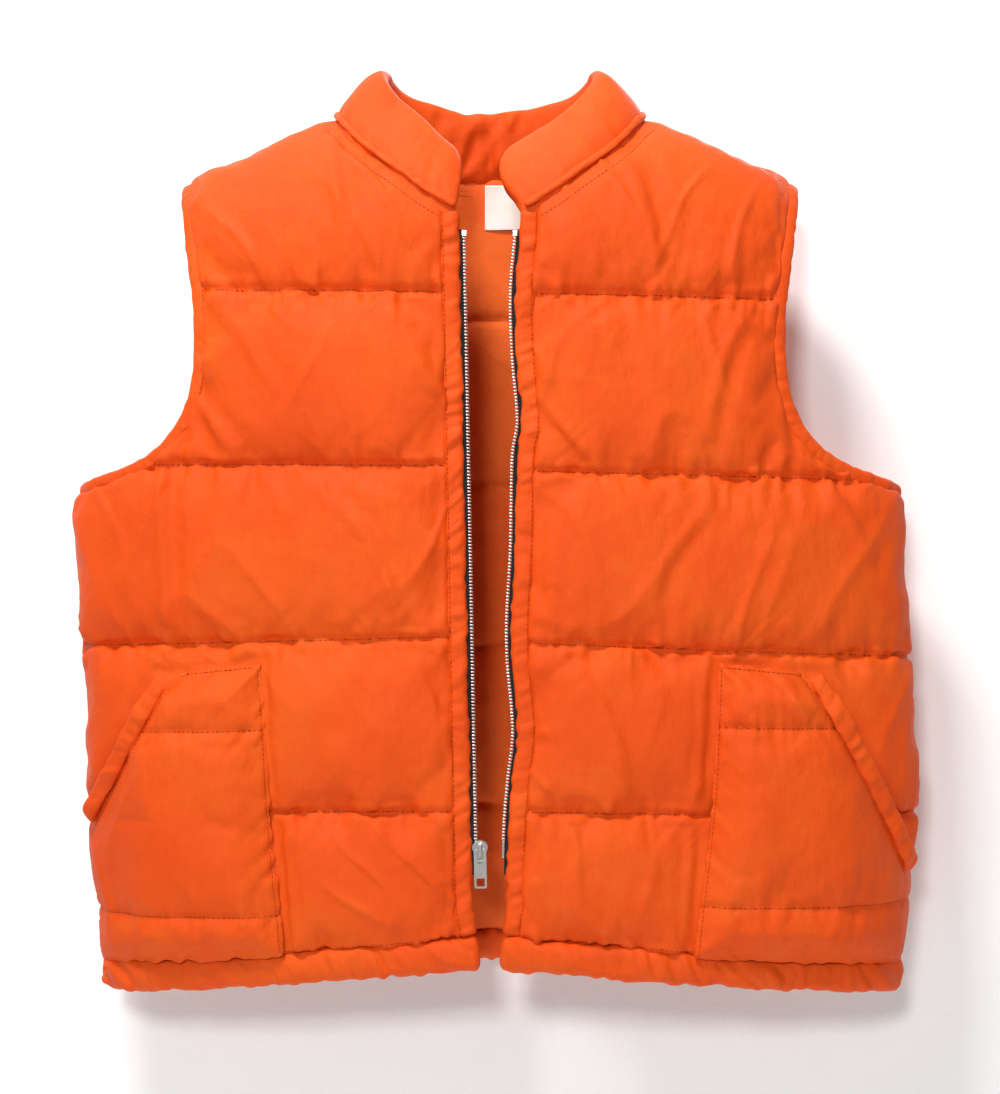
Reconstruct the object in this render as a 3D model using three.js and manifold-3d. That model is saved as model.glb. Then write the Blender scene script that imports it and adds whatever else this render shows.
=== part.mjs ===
// A quilted, insulated safety vest as it hangs: padded fronts and back, stand collar, two slanted
// hand pockets, bound armholes, a hem band and an open-end metal zip with its slider at the bottom.
// +Z is up, the front faces -Y, and the origin is where a hanger crosses the neck, level with the
// tops of the shoulder seams. "left" and "right" are the wearer's, so the right side lies at -X.
import * as THREE from "three";
import { mergeVertices } from "three/addons/utils/BufferGeometryUtils.js";
import Module from "manifold-3d";

const wasm = await Module();
wasm.setup();

// ---- Driving dimensions, in millimetres -------------------------------------------------------
const MERGE = 1e-3; // corners nearer than this are one
const GAP = 0.3; // clearance between pieces that are sewn or seated together
const SEAM = 0.15; // half the clearance where front and back meet, at y = 0

const CHEST_HALF = 301; // half width of the body at the underarm
const HEM_TAPER = 12; // how much narrower each side is at the hem
const HANG_SWAY = 9; // how far the lower sides hang towards +X
const BODY_DEPTH = 60; // from y = 0 to the middle of the front and of the back
const SHOULDER_ROUND = 110; // height over which front and back close to the shoulder seam
const SHOULDER_SLOPE = 0.41; // drop of the shoulder seam for each millimetre outwards
const NECK_SIDE = { x: 114, z: 2 }; // outer surface where collar and shoulder meet
const UNDERARM_Z = -264;
const WAIST_Z = -475; // below here the sides have their full sway
const HEM_FRONT_Z = -596; // hem at the front opening
const HEM_BACK_Z = -614; // hem at the centre back
const HEM_SIDE_Z = -622; // hem at the side seams
const HEM_BAND = 20; // height of the hem band

const SKIN = 0.8; // shell and lining cloth
const WADDING = 13.6; // insulation between them
const SKIN_GAP = 0.4; // room between a cloth and the wadding it covers
const HALF = WADDING / 2 + SKIN_GAP + SKIN; // half the thickness of a quilted panel

const FACING_WIDTH = 14; // folded strip along each front edge
const FACING_THICK = 6.8; // kept flatter than the slider, so that the pull tab passes in front of it
const BINDING_WIDTH = 10; // strip round each armhole
const BINDING_THICK = 9;
const HEM_THINNER = 1.4; // how much flatter than the quilting the hem band is, on each side
const HEM_HALF = HALF - HEM_THINNER;

const COLLAR_HEIGHT = 51;
const COLLAR_THICK = 15;
const COLLAR_LEAN = { front: 31, side: 40, back: 13 }; // degrees inwards from upright
const WELT = 4; // height and depth of the ridge of turned seam cloth round the neck
const NECK_TAPE = { half: 82, height: 12, thick: 1 }; // tape inside the back neck seam
const LABEL = { x: -4, width: 34, drop: 6, height: 32, thick: 0.6 };

const POCKET_ROOM = 13; // room for a hand, between body and pocket
const POCKET_WADDING = 5;
const POCKET_SEAM = 9; // width of the pocket's sewn rim
const POCKET_MOUTH = 12; // width of the strip along the slanted mouth
const POCKET_TOP = [[156, -386], [229, -394]]; // upper edge, from the inner to the outer end
const POCKET_INNER_LOW = [139, -600]; // where the inner edge would reach the hem
const POCKET_SLANT = [[229, -394], [266, -447], [299, -512], [318, -570]]; // the mouth
const POCKET_SIDE = 284; // how far out the room for the hand goes

const ZIP_TOP_Z = -92;
const ZIP_END_Z = -508; // lowest tooth
const CHAIN_TOP_X = 17.5; // middle of one row of teeth
const CHAIN_END_X = 9.5;
const CHAIN_WIDTH = 3;
const CHAIN_THICK = 2.8;
const TAPE_THICK = 0.8;
const TAPE_IN_FACING = 11;
const EDGE_FROM_CHAIN = 3.6; // from the teeth's middle to the facing's edge
const BELOW_ZIP = 22; // how far the front edge runs on straight under the zip
const HEM_EDGE_X = 5; // front edge at the hem
const ZIP_CLEARANCE = 0.3; // between the slider and the teeth and tape that it runs on
const SLIDER = { width: 11, height: 13, wall: 1.2 };
const CHANNEL = {
  width: CHAIN_WIDTH + 2 * ZIP_CLEARANCE,
  bore: CHAIN_THICK + 2 * ZIP_CLEARANCE,
  slot: TAPE_THICK + 2 * ZIP_CLEARANCE,
};
const SLIDER_THICK = CHANNEL.bore + 2 * SLIDER.wall;
const BRIDGE = { width: 2.6, span: 9, rise: 3.5, bar: 1.1 };
const PULL = { width: 8.6, length: 27, thick: 1.3, slotLength: 9, bar: 1.5 };
const PULL_SLOT = BRIDGE.width + 3 * ZIP_CLEARANCE;
const PIN = { width: CHAIN_WIDTH - 1, length: 12 };
const BOX = { width: 8.5, height: 11, thick: 4.6 };
const STOP = { width: 3.4, height: 4, thick: 3.4 };

const vest = new THREE.Group();
const WAYS = { front: -1, back: 1 }; // which way a face lies from y = 0
const QUARTER = Math.PI / 2;

// ---- The vest's form --------------------------------------------------------------------------
const clamp01 = (t) => Math.min(1, Math.max(0, t));
const ease = (t) => clamp01(t) ** 2 * (3 - 2 * clamp01(t));
const mix = (a, b, t) => a + (b - a) * t;
const signOf = (n) => (n < 0 ? -1 : 1);

// Half width of the panels' middle surface at height z, on side -1 or 1.
function halfWidth(z, side) {
  const taper = HEM_TAPER * ease((WAIST_Z - z) / (WAIST_Z - HEM_SIDE_Z));
  const sway = HANG_SWAY * ease((UNDERARM_Z - z) / (UNDERARM_Z - WAIST_Z));
  return CHEST_HALF - HALF - taper + side * sway;
}

// Height of the shoulder seam on the middle surface.
const SEAM_RISE = HALF * Math.hypot(1, SHOULDER_SLOPE);
const shoulderZ = (x) => NECK_SIDE.z - SEAM_RISE - SHOULDER_SLOPE * (Math.abs(x) - NECK_SIDE.x);

function hemZ(x, face) {
  const middle = face === "front" ? HEM_FRONT_Z : HEM_BACK_Z;
  return mix(middle, HEM_SIDE_Z, clamp01(Math.abs(x) / (CHEST_HALF - HEM_TAPER)));
}
const hemSeamZ = (x, face) => hemZ(x, face) + HEM_BAND;

// Distance of a row of teeth, and of the front edge beside it, from x = 0.
const chainX = (z) =>
  mix(CHAIN_TOP_X, CHAIN_END_X, (ZIP_TOP_Z - z) / (ZIP_TOP_Z - ZIP_END_Z));
function edgeX(z) {
  const besideZip = chainX(z) + EDGE_FROM_CHAIN;
  const low = ZIP_END_Z - BOX.height - SLIDER.height - BELOW_ZIP;
  const toHem = clamp01((low - z) / (low - HEM_FRONT_Z));
  return z > low ? besideZip : mix(chainX(low) + EDGE_FROM_CHAIN, HEM_EDGE_X, toHem);
}

// A point of the middle surface: phi goes round from the centre (0) to a side seam (a quarter
// turn, signed like x), and v rises from the bottom line (0) to the shoulder seam (1).
const ROUND_FROM = 0.6; // share of v below the rounding of the shoulder
function middlePoint(face, phi, v, bottom) {
  const side = signOf(phi);
  const turn = ((v - ROUND_FROM) / (1 - ROUND_FROM)) * QUARTER;
  let x = 0;
  let z = WAIST_Z;
  for (let pass = 0; pass < 6; pass++) {
    x = halfWidth(z, side) * Math.sin(phi);
    const top = shoulderZ(x) - SHOULDER_ROUND;
    z = v < ROUND_FROM ? mix(bottom(x), top, v / ROUND_FROM) : top + SHOULDER_ROUND * Math.sin(turn);
  }
  const close = v < ROUND_FROM ? 1 : Math.cos(turn);
  return new THREE.Vector3(x, WAYS[face] * BODY_DEPTH * Math.cos(phi) * close, z);
}

// The middle surface's depth under or over a point of the plane y = 0.
function depthAt(x, z) {
  const across = x / halfWidth(z, signOf(x));
  const down = clamp01((shoulderZ(x) - z) / SHOULDER_ROUND);
  return BODY_DEPTH * Math.sqrt(Math.max(0, 1 - across ** 2) * (1 - (1 - down) ** 2));
}

// The same point moved outwards by a distance, away from the middle surface.
function offsetPoint(face, phi, v, bottom, distance, seam) {
  const step = 1e-3;
  const at = middlePoint(face, phi, v, bottom);
  const round = middlePoint(face, phi + step, v, bottom).sub(middlePoint(face, phi - step, v, bottom));
  const up = middlePoint(face, phi, v + step, bottom).sub(middlePoint(face, phi, v - step, bottom));
  const out = new THREE.Vector3().crossVectors(round, up);
  if (out.length() < 1e-9) out.set(signOf(phi), 0, 1);
  out.normalize().multiplyScalar(-WAYS[face]);
  if (out.length() > 0 && out.dot(new THREE.Vector3(at.x, at.y * 4, 0)) < 0 && out.z < 0.5) out.negate();
  at.addScaledVector(out, distance);
  at.y += WAYS[face] * seam;
  return at;
}

// ---- Solids -----------------------------------------------------------------------------------
function toSolid(geometry) {
  const plain = geometry.clone();
  plain.deleteAttribute("normal");
  plain.deleteAttribute("uv");
  const merged = mergeVertices(plain, MERGE);
  const triVerts = new Uint32Array(merged.index.array);
  const build = () =>
    new wasm.Manifold(
      new wasm.Mesh({ numProp: 3, vertProperties: merged.attributes.position.array, triVerts }),
    );
  const solid = build();
  if (solid.volume() > 0) return solid;
  for (let i = 0; i < triVerts.length; i += 3)
    [triVerts[i + 1], triVerts[i + 2]] = [triVerts[i + 2], triVerts[i + 1]];
  return build();
}

function toGeometry(solid) {
  const mesh = solid.getMesh();
  const positions = new Float32Array(mesh.numVert * 3);
  for (let i = 0; i < mesh.numVert; i++)
    positions.set(mesh.vertProperties.subarray(i * mesh.numProp, i * mesh.numProp + 3), i * 3);
  const geometry = new THREE.BufferGeometry();
  geometry.setAttribute("position", new THREE.BufferAttribute(positions, 3));
  geometry.setIndex(new THREE.BufferAttribute(new Uint32Array(mesh.triVerts), 1));
  geometry.computeVertexNormals();
  return geometry;
}

// BoxGeometry splits the squares of its last side, at z = 0, along the other diagonal than those
// at z = 1. This turns them, so that twisted squares stay parallel through the thickness.
const BACK_SIDE = 5;
function matchDiagonals(box) {
  const index = box.index.array;
  const { start, count } = box.groups[BACK_SIDE];
  for (let i = start; i < start + count; i += 6) {
    const [a, b, d, , c] = index.slice(i, i + 6);
    index.set([a, b, c, a, c, d], i);
  }
}

// A box of the given segments whose corners (0 to 1 each way) are carried to new places.
function bentBox(segments, place) {
  const box = new THREE.BoxGeometry(1, 1, 1, ...segments);
  matchDiagonals(box);
  const position = box.attributes.position;
  for (let i = 0; i < position.count; i++) {
    const p = place(position.getX(i) + 0.5, position.getY(i) + 0.5, position.getZ(i) + 0.5);
    position.setXYZ(i, p.x, p.y, p.z);
  }
  return toSolid(box);
}

const FRONT_GRID = [10, 11, 1];
const FACING_GRID = [2, 11, 1];
const BACK_GRID = [20, 11, 1];

// Angle round the body at which the middle surface is x away from the centre, at a share v.
function angleAt(face, side, x, v) {
  const z = middlePoint(face, 0.1 * side, v, (at) => hemSeamZ(at, face)).z;
  return side * Math.asin(clamp01(x(z) / halfWidth(z, side)));
}

// One layer of a face, between two angles (functions of v). reach(u, w) is its distance off the
// middle surface. All layers of a face share its grid, so that their facets stay parallel.
function layer(face, grid, from, to, reach, seam) {
  const bottom = (x) => hemSeamZ(x, face);
  return bentBox(grid, (u, v, w) => {
    const p = offsetPoint(face, mix(from(v), to(v), u), v, bottom, reach(u, w), seam);
    if (v === 0) p.z = bottom(p.x);
    return p;
  });
}

const evenly = ([inner, outer]) => (u, w) => mix(inner, outer, w);

const quiltStart = (z) => edgeX(z) + FACING_WIDTH + GAP;
function frontLayer(side, reach, seam = SEAM) {
  const from = (v) => angleAt("front", side, quiltStart, v);
  return layer("front", FRONT_GRID, from, () => side * QUARTER, reach, seam);
}
const backLayer = (reach, seam = SEAM) =>
  layer("back", BACK_GRID, () => -QUARTER, () => QUARTER, reach, seam);

// The biggest of a solid's pieces, without the slivers that a slanting cut can leave.
const largest = (solid) =>
  toSolid(toGeometry(solid))
    .decompose()
    .reduce((best, piece) => (piece.volume() > best.volume() ? piece : best));

// A prism that runs along Y, over an outline given as [x, z] points.
const FAR = 420;
function prism(outline, from = -FAR, to = FAR) {
  const shape = new THREE.Shape(outline.map(([x, z]) => new THREE.Vector2(x, z)));
  const geometry = new THREE.ExtrudeGeometry(shape, { depth: to - from, bevelEnabled: false });
  return toSolid(geometry.rotateX(QUARTER).translate(0, to, 0));
}

// A smooth line through [x, z] points.
const smooth = (points, count) =>
  new THREE.SplineCurve(points.map(([x, z]) => new THREE.Vector2(x, z)))
    .getPoints(count)
    .map((p) => [p.x, p.y]);

// The line moved sideways: to its left as it runs, for a positive distance.
function offsetLine(line, distance) {
  return line.map(([x, z], i) => {
    const [ax, az] = line[Math.max(0, i - 1)];
    const [bx, bz] = line[Math.min(line.length - 1, i + 1)];
    const length = Math.hypot(bx - ax, bz - az);
    return [x - ((bz - az) / length) * distance, z + ((bx - ax) / length) * distance];
  });
}

const mirrored = (outline, side) => outline.map(([x, z]) => [x * side, z]);

// Armhole edge from the shoulder's tip down to the underarm.
const SHOULDER_TIP_X = 221;
const ARMHOLE = smooth(
  [
    [SHOULDER_TIP_X, NECK_SIDE.z - SHOULDER_SLOPE * (SHOULDER_TIP_X - NECK_SIDE.x)],
    [213, -95],
    [206, -150],
    [211, -204],
    [240, -242],
    [CHEST_HALF, UNDERARM_Z],
  ],
  16,
);

// All that lies beyond the armhole's edge, when the edge is moved into the cloth by inset.
function armholeCut(side, inset) {
  const line = offsetLine(ARMHOLE, -inset);
  const first = line[0];
  const last = line[line.length - 1];
  return prism(mirrored([[first[0], FAR], ...line, [FAR, last[1]], [FAR, FAR]], side));
}

// Neck seam from the front opening up to the side of the neck, and on down the back.
const NECK_FRONT = smooth(
  [
    [0, -85],
    [17, -80],
    [42, -66],
    [62, -51],
    [88, -31],
    [104, -12],
    [NECK_SIDE.x, NECK_SIDE.z + 2],
  ],
  14,
);
const NECK_BACK = smooth([[0, -32], [35, -31], [70, -25], [99, -10], [NECK_SIDE.x, NECK_SIDE.z + 2]], 12);

// The room above the neck seam, on both sides, when the seam is moved up by rise.
function neckRoom(seamLine, rise, from, to) {
  const line = offsetLine(seamLine, rise).map(([x, z], i) => [i === 0 ? 0 : x, z]);
  const last = line[line.length - 1];
  const half = [...line, [last[0] + 6, last[1] + 12], [last[0] + 6, FAR]];
  return prism([...mirrored(half.slice(1), -1).reverse(), ...half], from, to);
}
const frontNeck = neckRoom(NECK_FRONT, 0, -FAR, 0);
const backNeck = neckRoom(NECK_BACK, 0, 0, FAR);
const collarRoom = neckRoom(NECK_FRONT, GAP, -FAR, 0).add(neckRoom(NECK_BACK, GAP, 0, FAR));

// ---- Body -------------------------------------------------------------------------------------
const CLOTHS = {
  shell: evenly([HALF - SKIN, HALF]),
  wadding: evenly([-WADDING / 2, WADDING / 2]),
  lining: evenly([-HALF, -HALF + SKIN]),
};

const frontPanel = (side, cloth) =>
  frontLayer(side, CLOTHS[cloth]).subtract(armholeCut(side, BINDING_WIDTH + GAP)).subtract(frontNeck);

const backPanel = (cloth) =>
  backLayer(CLOTHS[cloth])
    .subtract(armholeCut(1, BINDING_WIDTH + GAP))
    .subtract(armholeCut(-1, BINDING_WIDTH + GAP))
    .subtract(backNeck);

// Its two halves run a little past each other at y = 0, where they join.
function armholeBinding(side) {
  const reach = evenly([-BINDING_THICK / 2, BINDING_THICK / 2]);
  const ring = armholeCut(side, BINDING_WIDTH).subtract(armholeCut(side, 0));
  const front = frontLayer(side, reach, -SEAM / 2).intersect(ring);
  return front.add(backLayer(reach, -SEAM / 2).intersect(ring));
}

function hemBand(face, side = 1) {
  const low = (x) => hemZ(x, face);
  const start = Math.asin(edgeX(HEM_FRONT_Z) / halfWidth(HEM_FRONT_Z, side));
  const from = face === "front" ? side * start : -QUARTER;
  const segments = face === "front" ? FRONT_GRID[0] : BACK_GRID[0];
  return bentBox([segments, 1, 1], (u, v, w) => {
    const reach = mix(-HEM_HALF, HEM_HALF, w);
    const p = offsetPoint(face, mix(from, side * QUARTER, u), 0, low, reach, SEAM);
    p.z = low(p.x) + v * (HEM_BAND - GAP);
    return p;
  });
}

// ---- Front edges and zip ----------------------------------------------------------------------
const BEHIND = -BODY_DEPTH - SEAM; // y of the zip's middle

// A strip beside a row of teeth, between two distances from the teeth's middle.
function stripBesideChain(side, near, far, top, end, thick) {
  const outline = [
    [chainX(top) + near, top],
    [chainX(top) + far, top],
    [chainX(end) + far, end],
    [chainX(end) + near, end],
  ];
  return prism(mirrored(outline, side), BEHIND - thick / 2, BEHIND + thick / 2);
}

const TAPE_NEAR = CHAIN_WIDTH / 2 + GAP;
const TAPE_FAR = EDGE_FROM_CHAIN + TAPE_IN_FACING;
const TAPE_TOP_Z = ZIP_TOP_Z + 5;
const SLIDER_Z = ZIP_END_Z - SLIDER.height / 2;
const BOX_TOP_Z = ZIP_END_Z - SLIDER.height - GAP;
const TAPE_END_Z = BOX_TOP_Z - BOX.height;

function frontFacing(side) {
  const from = (v) => angleAt("front", side, edgeX, v);
  const to = (v) => angleAt("front", side, (z) => edgeX(z) + FACING_WIDTH, v);
  const slot = stripBesideChain(side, 0, TAPE_FAR + GAP, 0, TAPE_END_Z - GAP, TAPE_THICK + 2 * GAP);
  const reach = evenly([-FACING_THICK / 2, FACING_THICK / 2]);
  return layer("front", FACING_GRID, from, to, reach, SEAM)
    .subtract(frontNeck)
    .subtract(slot);
}

const zipTape = (side) =>
  stripBesideChain(side, TAPE_NEAR, TAPE_FAR, TAPE_TOP_Z, TAPE_END_Z, TAPE_THICK);

const zipTeeth = (side) =>
  stripBesideChain(side, -CHAIN_WIDTH / 2, CHAIN_WIDTH / 2, ZIP_TOP_Z, ZIP_END_Z, CHAIN_THICK);

// A group whose origin is on the teeth's middle at height z, with its Z axis along the teeth.
const CHAIN_TILT = Math.atan((CHAIN_TOP_X - CHAIN_END_X) / (ZIP_TOP_Z - ZIP_END_Z));
function placeOnChain(side, z) {
  const group = new THREE.Group();
  group.position.set(side * chainX(z), BEHIND, z);
  group.rotation.y = side * CHAIN_TILT;
  vest.add(group);
  return group;
}

const block = (x, y, z, cx = 0, cy = 0, cz = 0) =>
  toSolid(new THREE.BoxGeometry(x, y, z).translate(cx, cy, cz));

// Slider: a front and a back plate joined by a wedge, with a straight channel for this side's
// teeth, a slanting one for the other side's, and a slot past each for the tape.
const SLIDER_SIDE = -1;
const SLIDER_SHIFT = CHANNEL.width / 2 + 1; // from this side's teeth to the slider's middle
function sliderOutline(width, height) {
  const half = width / 2;
  const shape = new THREE.Shape();
  shape.moveTo(-half * 0.62, -height / 2);
  shape.lineTo(half * 0.62, -height / 2);
  shape.quadraticCurveTo(half * 0.8, -height * 0.1, half, height * 0.12);
  shape.absarc(0, height / 2 - half, half, 0.12, Math.PI - 0.12, false);
  shape.lineTo(-half, height * 0.12);
  shape.quadraticCurveTo(-half * 0.8, -height * 0.1, -half * 0.62, -height / 2);
  return shape;
}

function plate(shape, thick, holes = []) {
  shape.holes.push(...holes);
  const settings = { depth: thick, bevelEnabled: false, curveSegments: 4 };
  return toSolid(new THREE.ExtrudeGeometry(shape, settings).rotateX(QUARTER).translate(0, thick / 2, 0));
}

const MOUTH_LEAN = 0.42; // angle of the other side's channel, in radians
function sliderBody() {
  const { width, bore, slot } = CHANNEL;
  const tall = SLIDER.height * 2;
  const mouth = new THREE.BoxGeometry(width, bore, tall)
    .translate(0, 0, tall / 2)
    .rotateY(MOUTH_LEAN)
    .translate(SLIDER_SHIFT - 0.6, 0, -1.5);
  return plate(sliderOutline(SLIDER.width, SLIDER.height), SLIDER_THICK)
    .subtract(block(width, bore, tall, -SLIDER_SHIFT))
    .subtract(block(width * 1.6, bore, SLIDER.height, width * 0.3, 0, -SLIDER.height / 2))
    .subtract(toSolid(mouth))
    .subtract(block(SLIDER.width, slot, tall, -SLIDER_SHIFT - SLIDER.width / 2))
    .subtract(block(SLIDER.width, slot, tall, SLIDER_SHIFT + SLIDER.width / 2));
}

// Bridge: the arch on the slider's front plate that holds the pull tab.
function sliderBridge() {
  const b = BRIDGE;
  const arch = block(b.width, b.rise, b.span, 0, -b.rise / 2);
  return arch.subtract(block(b.width * 2, 2 * (b.rise - b.bar), b.span - 2 * b.bar, 0, 0));
}

function roundedRect(width, z0, z1, radius, Kind = THREE.Shape) {
  const half = width / 2;
  const shape = new Kind();
  shape.moveTo(-half + radius, z0);
  shape.lineTo(half - radius, z0);
  shape.absarc(half - radius, z0 + radius, radius, -QUARTER, 0, false);
  shape.lineTo(half, z1 - radius);
  shape.absarc(half - radius, z1 - radius, radius, 0, QUARTER, false);
  shape.lineTo(-half + radius, z1);
  shape.absarc(-half + radius, z1 - radius, radius, QUARTER, Math.PI, false);
  shape.lineTo(-half, z0 + radius);
  shape.absarc(-half + radius, z0 + radius, radius, Math.PI, 3 * QUARTER, false);
  return shape;
}

// Pull tab: a flat plate with a slot that the bridge passes through and a square eye below. Its
// origin is the middle of the bar above the slot, on which it swings.
function pullTab() {
  const p = PULL;
  const top = p.bar / 2;
  const outline = roundedRect(p.width, top - p.length, top, 1.6);
  const slot = roundedRect(PULL_SLOT, -top - p.slotLength, -top, 0.6, THREE.Path);
  const eye = roundedRect(p.width - 3, top - p.length + 1.5, top - p.length + 7, 0.5, THREE.Path);
  return plate(outline, p.thick, [slot, eye]);
}

// ---- Collar -----------------------------------------------------------------------------------
// The neck seam on the middle surface, from the wearer's right front round the back to the left.
function neckSeam() {
  const half = [];
  for (const [x, z] of NECK_FRONT)
    if (x >= CHAIN_TOP_X + EDGE_FROM_CHAIN - 4 && shoulderZ(x) > z + 1) half.push([x, -depthAt(x, z), z]);
  half.push([NECK_SIDE.x - 6, 0, shoulderZ(NECK_SIDE.x - 6)]);
  for (const [x, z] of [...NECK_BACK].reverse())
    if (shoulderZ(x) > z + 1) half.push([x, depthAt(x, z), z]);
  const points = half.map(([x, y, z]) => new THREE.Vector3(x, y, z));
  const other = points.slice(0, -1).reverse().map((p) => new THREE.Vector3(-p.x, p.y, p.z));
  return new THREE.CatmullRomCurve3([...points, ...other], false, "centripetal");
}
const NECK_SEAM = neckSeam();

// Frame of the collar at a share of the seam: its foot, and the ways up and out.
function collarFrame(share) {
  const foot = NECK_SEAM.getPointAt(share);
  const inward = new THREE.Vector3(-foot.x, -foot.y * 1.6, 0).normalize();
  const back = clamp01(foot.y / BODY_DEPTH);
  const side = 1 - Math.abs(inward.y);
  const lean = mix(mix(COLLAR_LEAN.front, COLLAR_LEAN.back, ease(back * 1.4)), COLLAR_LEAN.side, side);
  const angle = THREE.MathUtils.degToRad(lean);
  const up = new THREE.Vector3(0, 0, Math.cos(angle)).addScaledVector(inward, Math.sin(angle));
  const along = NECK_SEAM.getTangentAt(share);
  const out = new THREE.Vector3().crossVectors(along, up).normalize();
  if (out.dot(inward) > 0) out.negate();
  return { foot, up, out };
}

const COLLAR_FOOT = -14; // the sweep starts below the seam, where the body's cut then trims it
const COLLAR_GRID = [28, 5, 1];
const COLLAR_TIP = 0.6; // share of the height above which the collar thins to its rounded top
function collarLayer(inner, outer, height) {
  const swept = bentBox(COLLAR_GRID, (u, v, w) => {
    const { foot, up, out } = collarFrame(u);
    const rise = mix(COLLAR_FOOT, height, v);
    const near = clamp01((rise / height - COLLAR_TIP) / (1 - COLLAR_TIP));
    const thin = Math.sqrt(1 - (0.85 * near) ** 2);
    return foot.addScaledVector(up, rise).addScaledVector(out, mix(inner, outer, w) * thin);
  });
  return largest(swept.intersect(collarRoom));
}

const COLLAR_HALF = COLLAR_THICK / 2;
const COLLAR_WADDING = COLLAR_HALF - SKIN - SKIN_GAP;
const collarOuter = () => collarLayer(COLLAR_HALF - SKIN, COLLAR_HALF, COLLAR_HEIGHT);
const collarWadding = () => collarLayer(-COLLAR_WADDING, COLLAR_WADDING, COLLAR_HEIGHT);
const collarInner = () => collarLayer(-COLLAR_HALF, SKIN - COLLAR_HALF, COLLAR_HEIGHT);

// Ridge round the outside of the collar's foot. It climbs a little where the shoulders slope out.
function neckWelt() {
  return bentBox([COLLAR_GRID[0], 1, 1], (u, v, w) => {
    const { foot, up, out } = collarFrame(u);
    const rise = 2 + 11 * up.x ** 2 + WELT * v;
    return foot.addScaledVector(up, rise).addScaledVector(out, COLLAR_HALF + 2 * GAP + WELT * w);
  });
}

// ---- Neck trim --------------------------------------------------------------------------------
function neckTape() {
  const out = -HALF - GAP;
  const edge = [...mirrored(NECK_BACK.slice(1), -1).reverse(), ...NECK_BACK];
  const line = edge.filter(([x]) => Math.abs(x) < NECK_TAPE.half);
  const outline = [...offsetLine(line, -1), ...offsetLine(line, -1 - NECK_TAPE.height).reverse()];
  return backLayer(evenly([out - NECK_TAPE.thick, out])).intersect(prism(outline, 0, FAR));
}

function neckLabel() {
  const out = -HALF - 2 * GAP - NECK_TAPE.thick;
  const top = NECK_BACK[0][1] - LABEL.drop;
  const right = LABEL.x + LABEL.width;
  const low = top - LABEL.height;
  const outline = [[LABEL.x, top], [right, top], [right, low], [LABEL.x, low]];
  return backLayer(evenly([out - LABEL.thick, out])).intersect(prism(outline, 0, FAR));
}

// ---- Pockets ----------------------------------------------------------------------------------
const POCKET_FLOOR = HALF + GAP;
const POCKET_ROOF = POCKET_FLOOR + POCKET_ROOM;
const POCKET_LEVELS = {
  lining: [POCKET_ROOF, POCKET_ROOF + SKIN],
  wadding: [POCKET_ROOF + SKIN + SKIN_GAP, POCKET_ROOF + SKIN + SKIN_GAP + POCKET_WADDING],
};
const POCKET_SHELL = POCKET_LEVELS.wadding[1] + SKIN_GAP;
const POCKET_AT_SIDE = 0.35; // share of its depth that a pocket keeps at the side seam
const POCKET_FLATTENS = 0.6; // share of the way to the side seam from which it gets flatter

// A pocket's layer follows the front, and comes down towards it at the side seam.
function pocketLayer(side, [inner, outer]) {
  const depth = (u) => mix(1, POCKET_AT_SIDE, ease((u - POCKET_FLATTENS) / (1 - POCKET_FLATTENS)));
  const above = (w) => mix(inner, outer, w) - POCKET_FLOOR;
  return frontLayer(side, (u, w) => POCKET_FLOOR + above(w) * depth(u));
}
const DEEP = -900; // a height well under the vest

// The region of the front that a pocket covers, drawn in by inset from its sewn edges and by
// mouthInset from its mouth.
function pocketRegion(side, inset, mouthInset) {
  const [[x0, z0], [x1, z1]] = POCKET_TOP;
  const [xLow, zLow] = POCKET_INNER_LOW;
  const slope = (z1 - z0) / (x1 - x0);
  const inner = x0 + inset;
  const topAt = (x) => z0 + slope * (x - x0) - inset;
  const lowInner = mix(inner, xLow + inset, (DEEP - z0) / (zLow - z0));
  const slant = offsetLine(smooth(POCKET_SLANT, 6), -mouthInset);
  const beside = [[0, 0], [slant[0][0], 0], ...slant, [FAR, slant[6][1] - 40], [FAR, DEEP], [0, DEEP]];
  const within = [[inner, topAt(inner)], [FAR, topAt(FAR)], [FAR, DEEP], [lowInner, DEEP]];
  return prism(mirrored(beside, side)).intersect(prism(mirrored(within, side)));
}

// The room inside a pocket: open along the mouth, closed by the rim on the other edges.
function pocketRoom(side, inset, ceiling) {
  const low = (x) => hemSeamZ(x, "front") + inset;
  const outline = [[0, 0], [POCKET_SIDE, 0], [POCKET_SIDE, low(POCKET_SIDE)], [0, low(0)]];
  return pocketLayer(side, [POCKET_FLOOR - 2, ceiling])
    .intersect(pocketRegion(side, inset, 0))
    .intersect(prism(mirrored(outline, side)));
}

const aboveHem = (side) => {
  const low = (x) => hemSeamZ(x, "front") + GAP;
  return prism(mirrored([[0, 0], [FAR, 0], [FAR, low(FAR)], [0, low(0)]], side));
};

const onPocket = (side, span) =>
  pocketLayer(side, span)
    .intersect(pocketRegion(side, 0, POCKET_MOUTH + GAP))
    .intersect(aboveHem(side));

const pocketShell = (side) => onPocket(side, [POCKET_SHELL, POCKET_SHELL + SKIN]);
const pocketWadding = (side) =>
  onPocket(side, [POCKET_FLOOR, POCKET_LEVELS.wadding[1]]).subtract(
    pocketRoom(side, POCKET_SEAM, POCKET_LEVELS.wadding[0]),
  );
const pocketLining = (side) =>
  onPocket(side, POCKET_LEVELS.lining).intersect(
    pocketRoom(side, POCKET_SEAM + GAP, POCKET_SHELL),
  );
const pocketMouth = (side) =>
  pocketLayer(side, [POCKET_ROOF, POCKET_SHELL + SKIN]).intersect(
    pocketRegion(side, 0, 0).subtract(pocketRegion(side, -POCKET_SEAM, POCKET_MOUTH)),
  );

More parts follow.
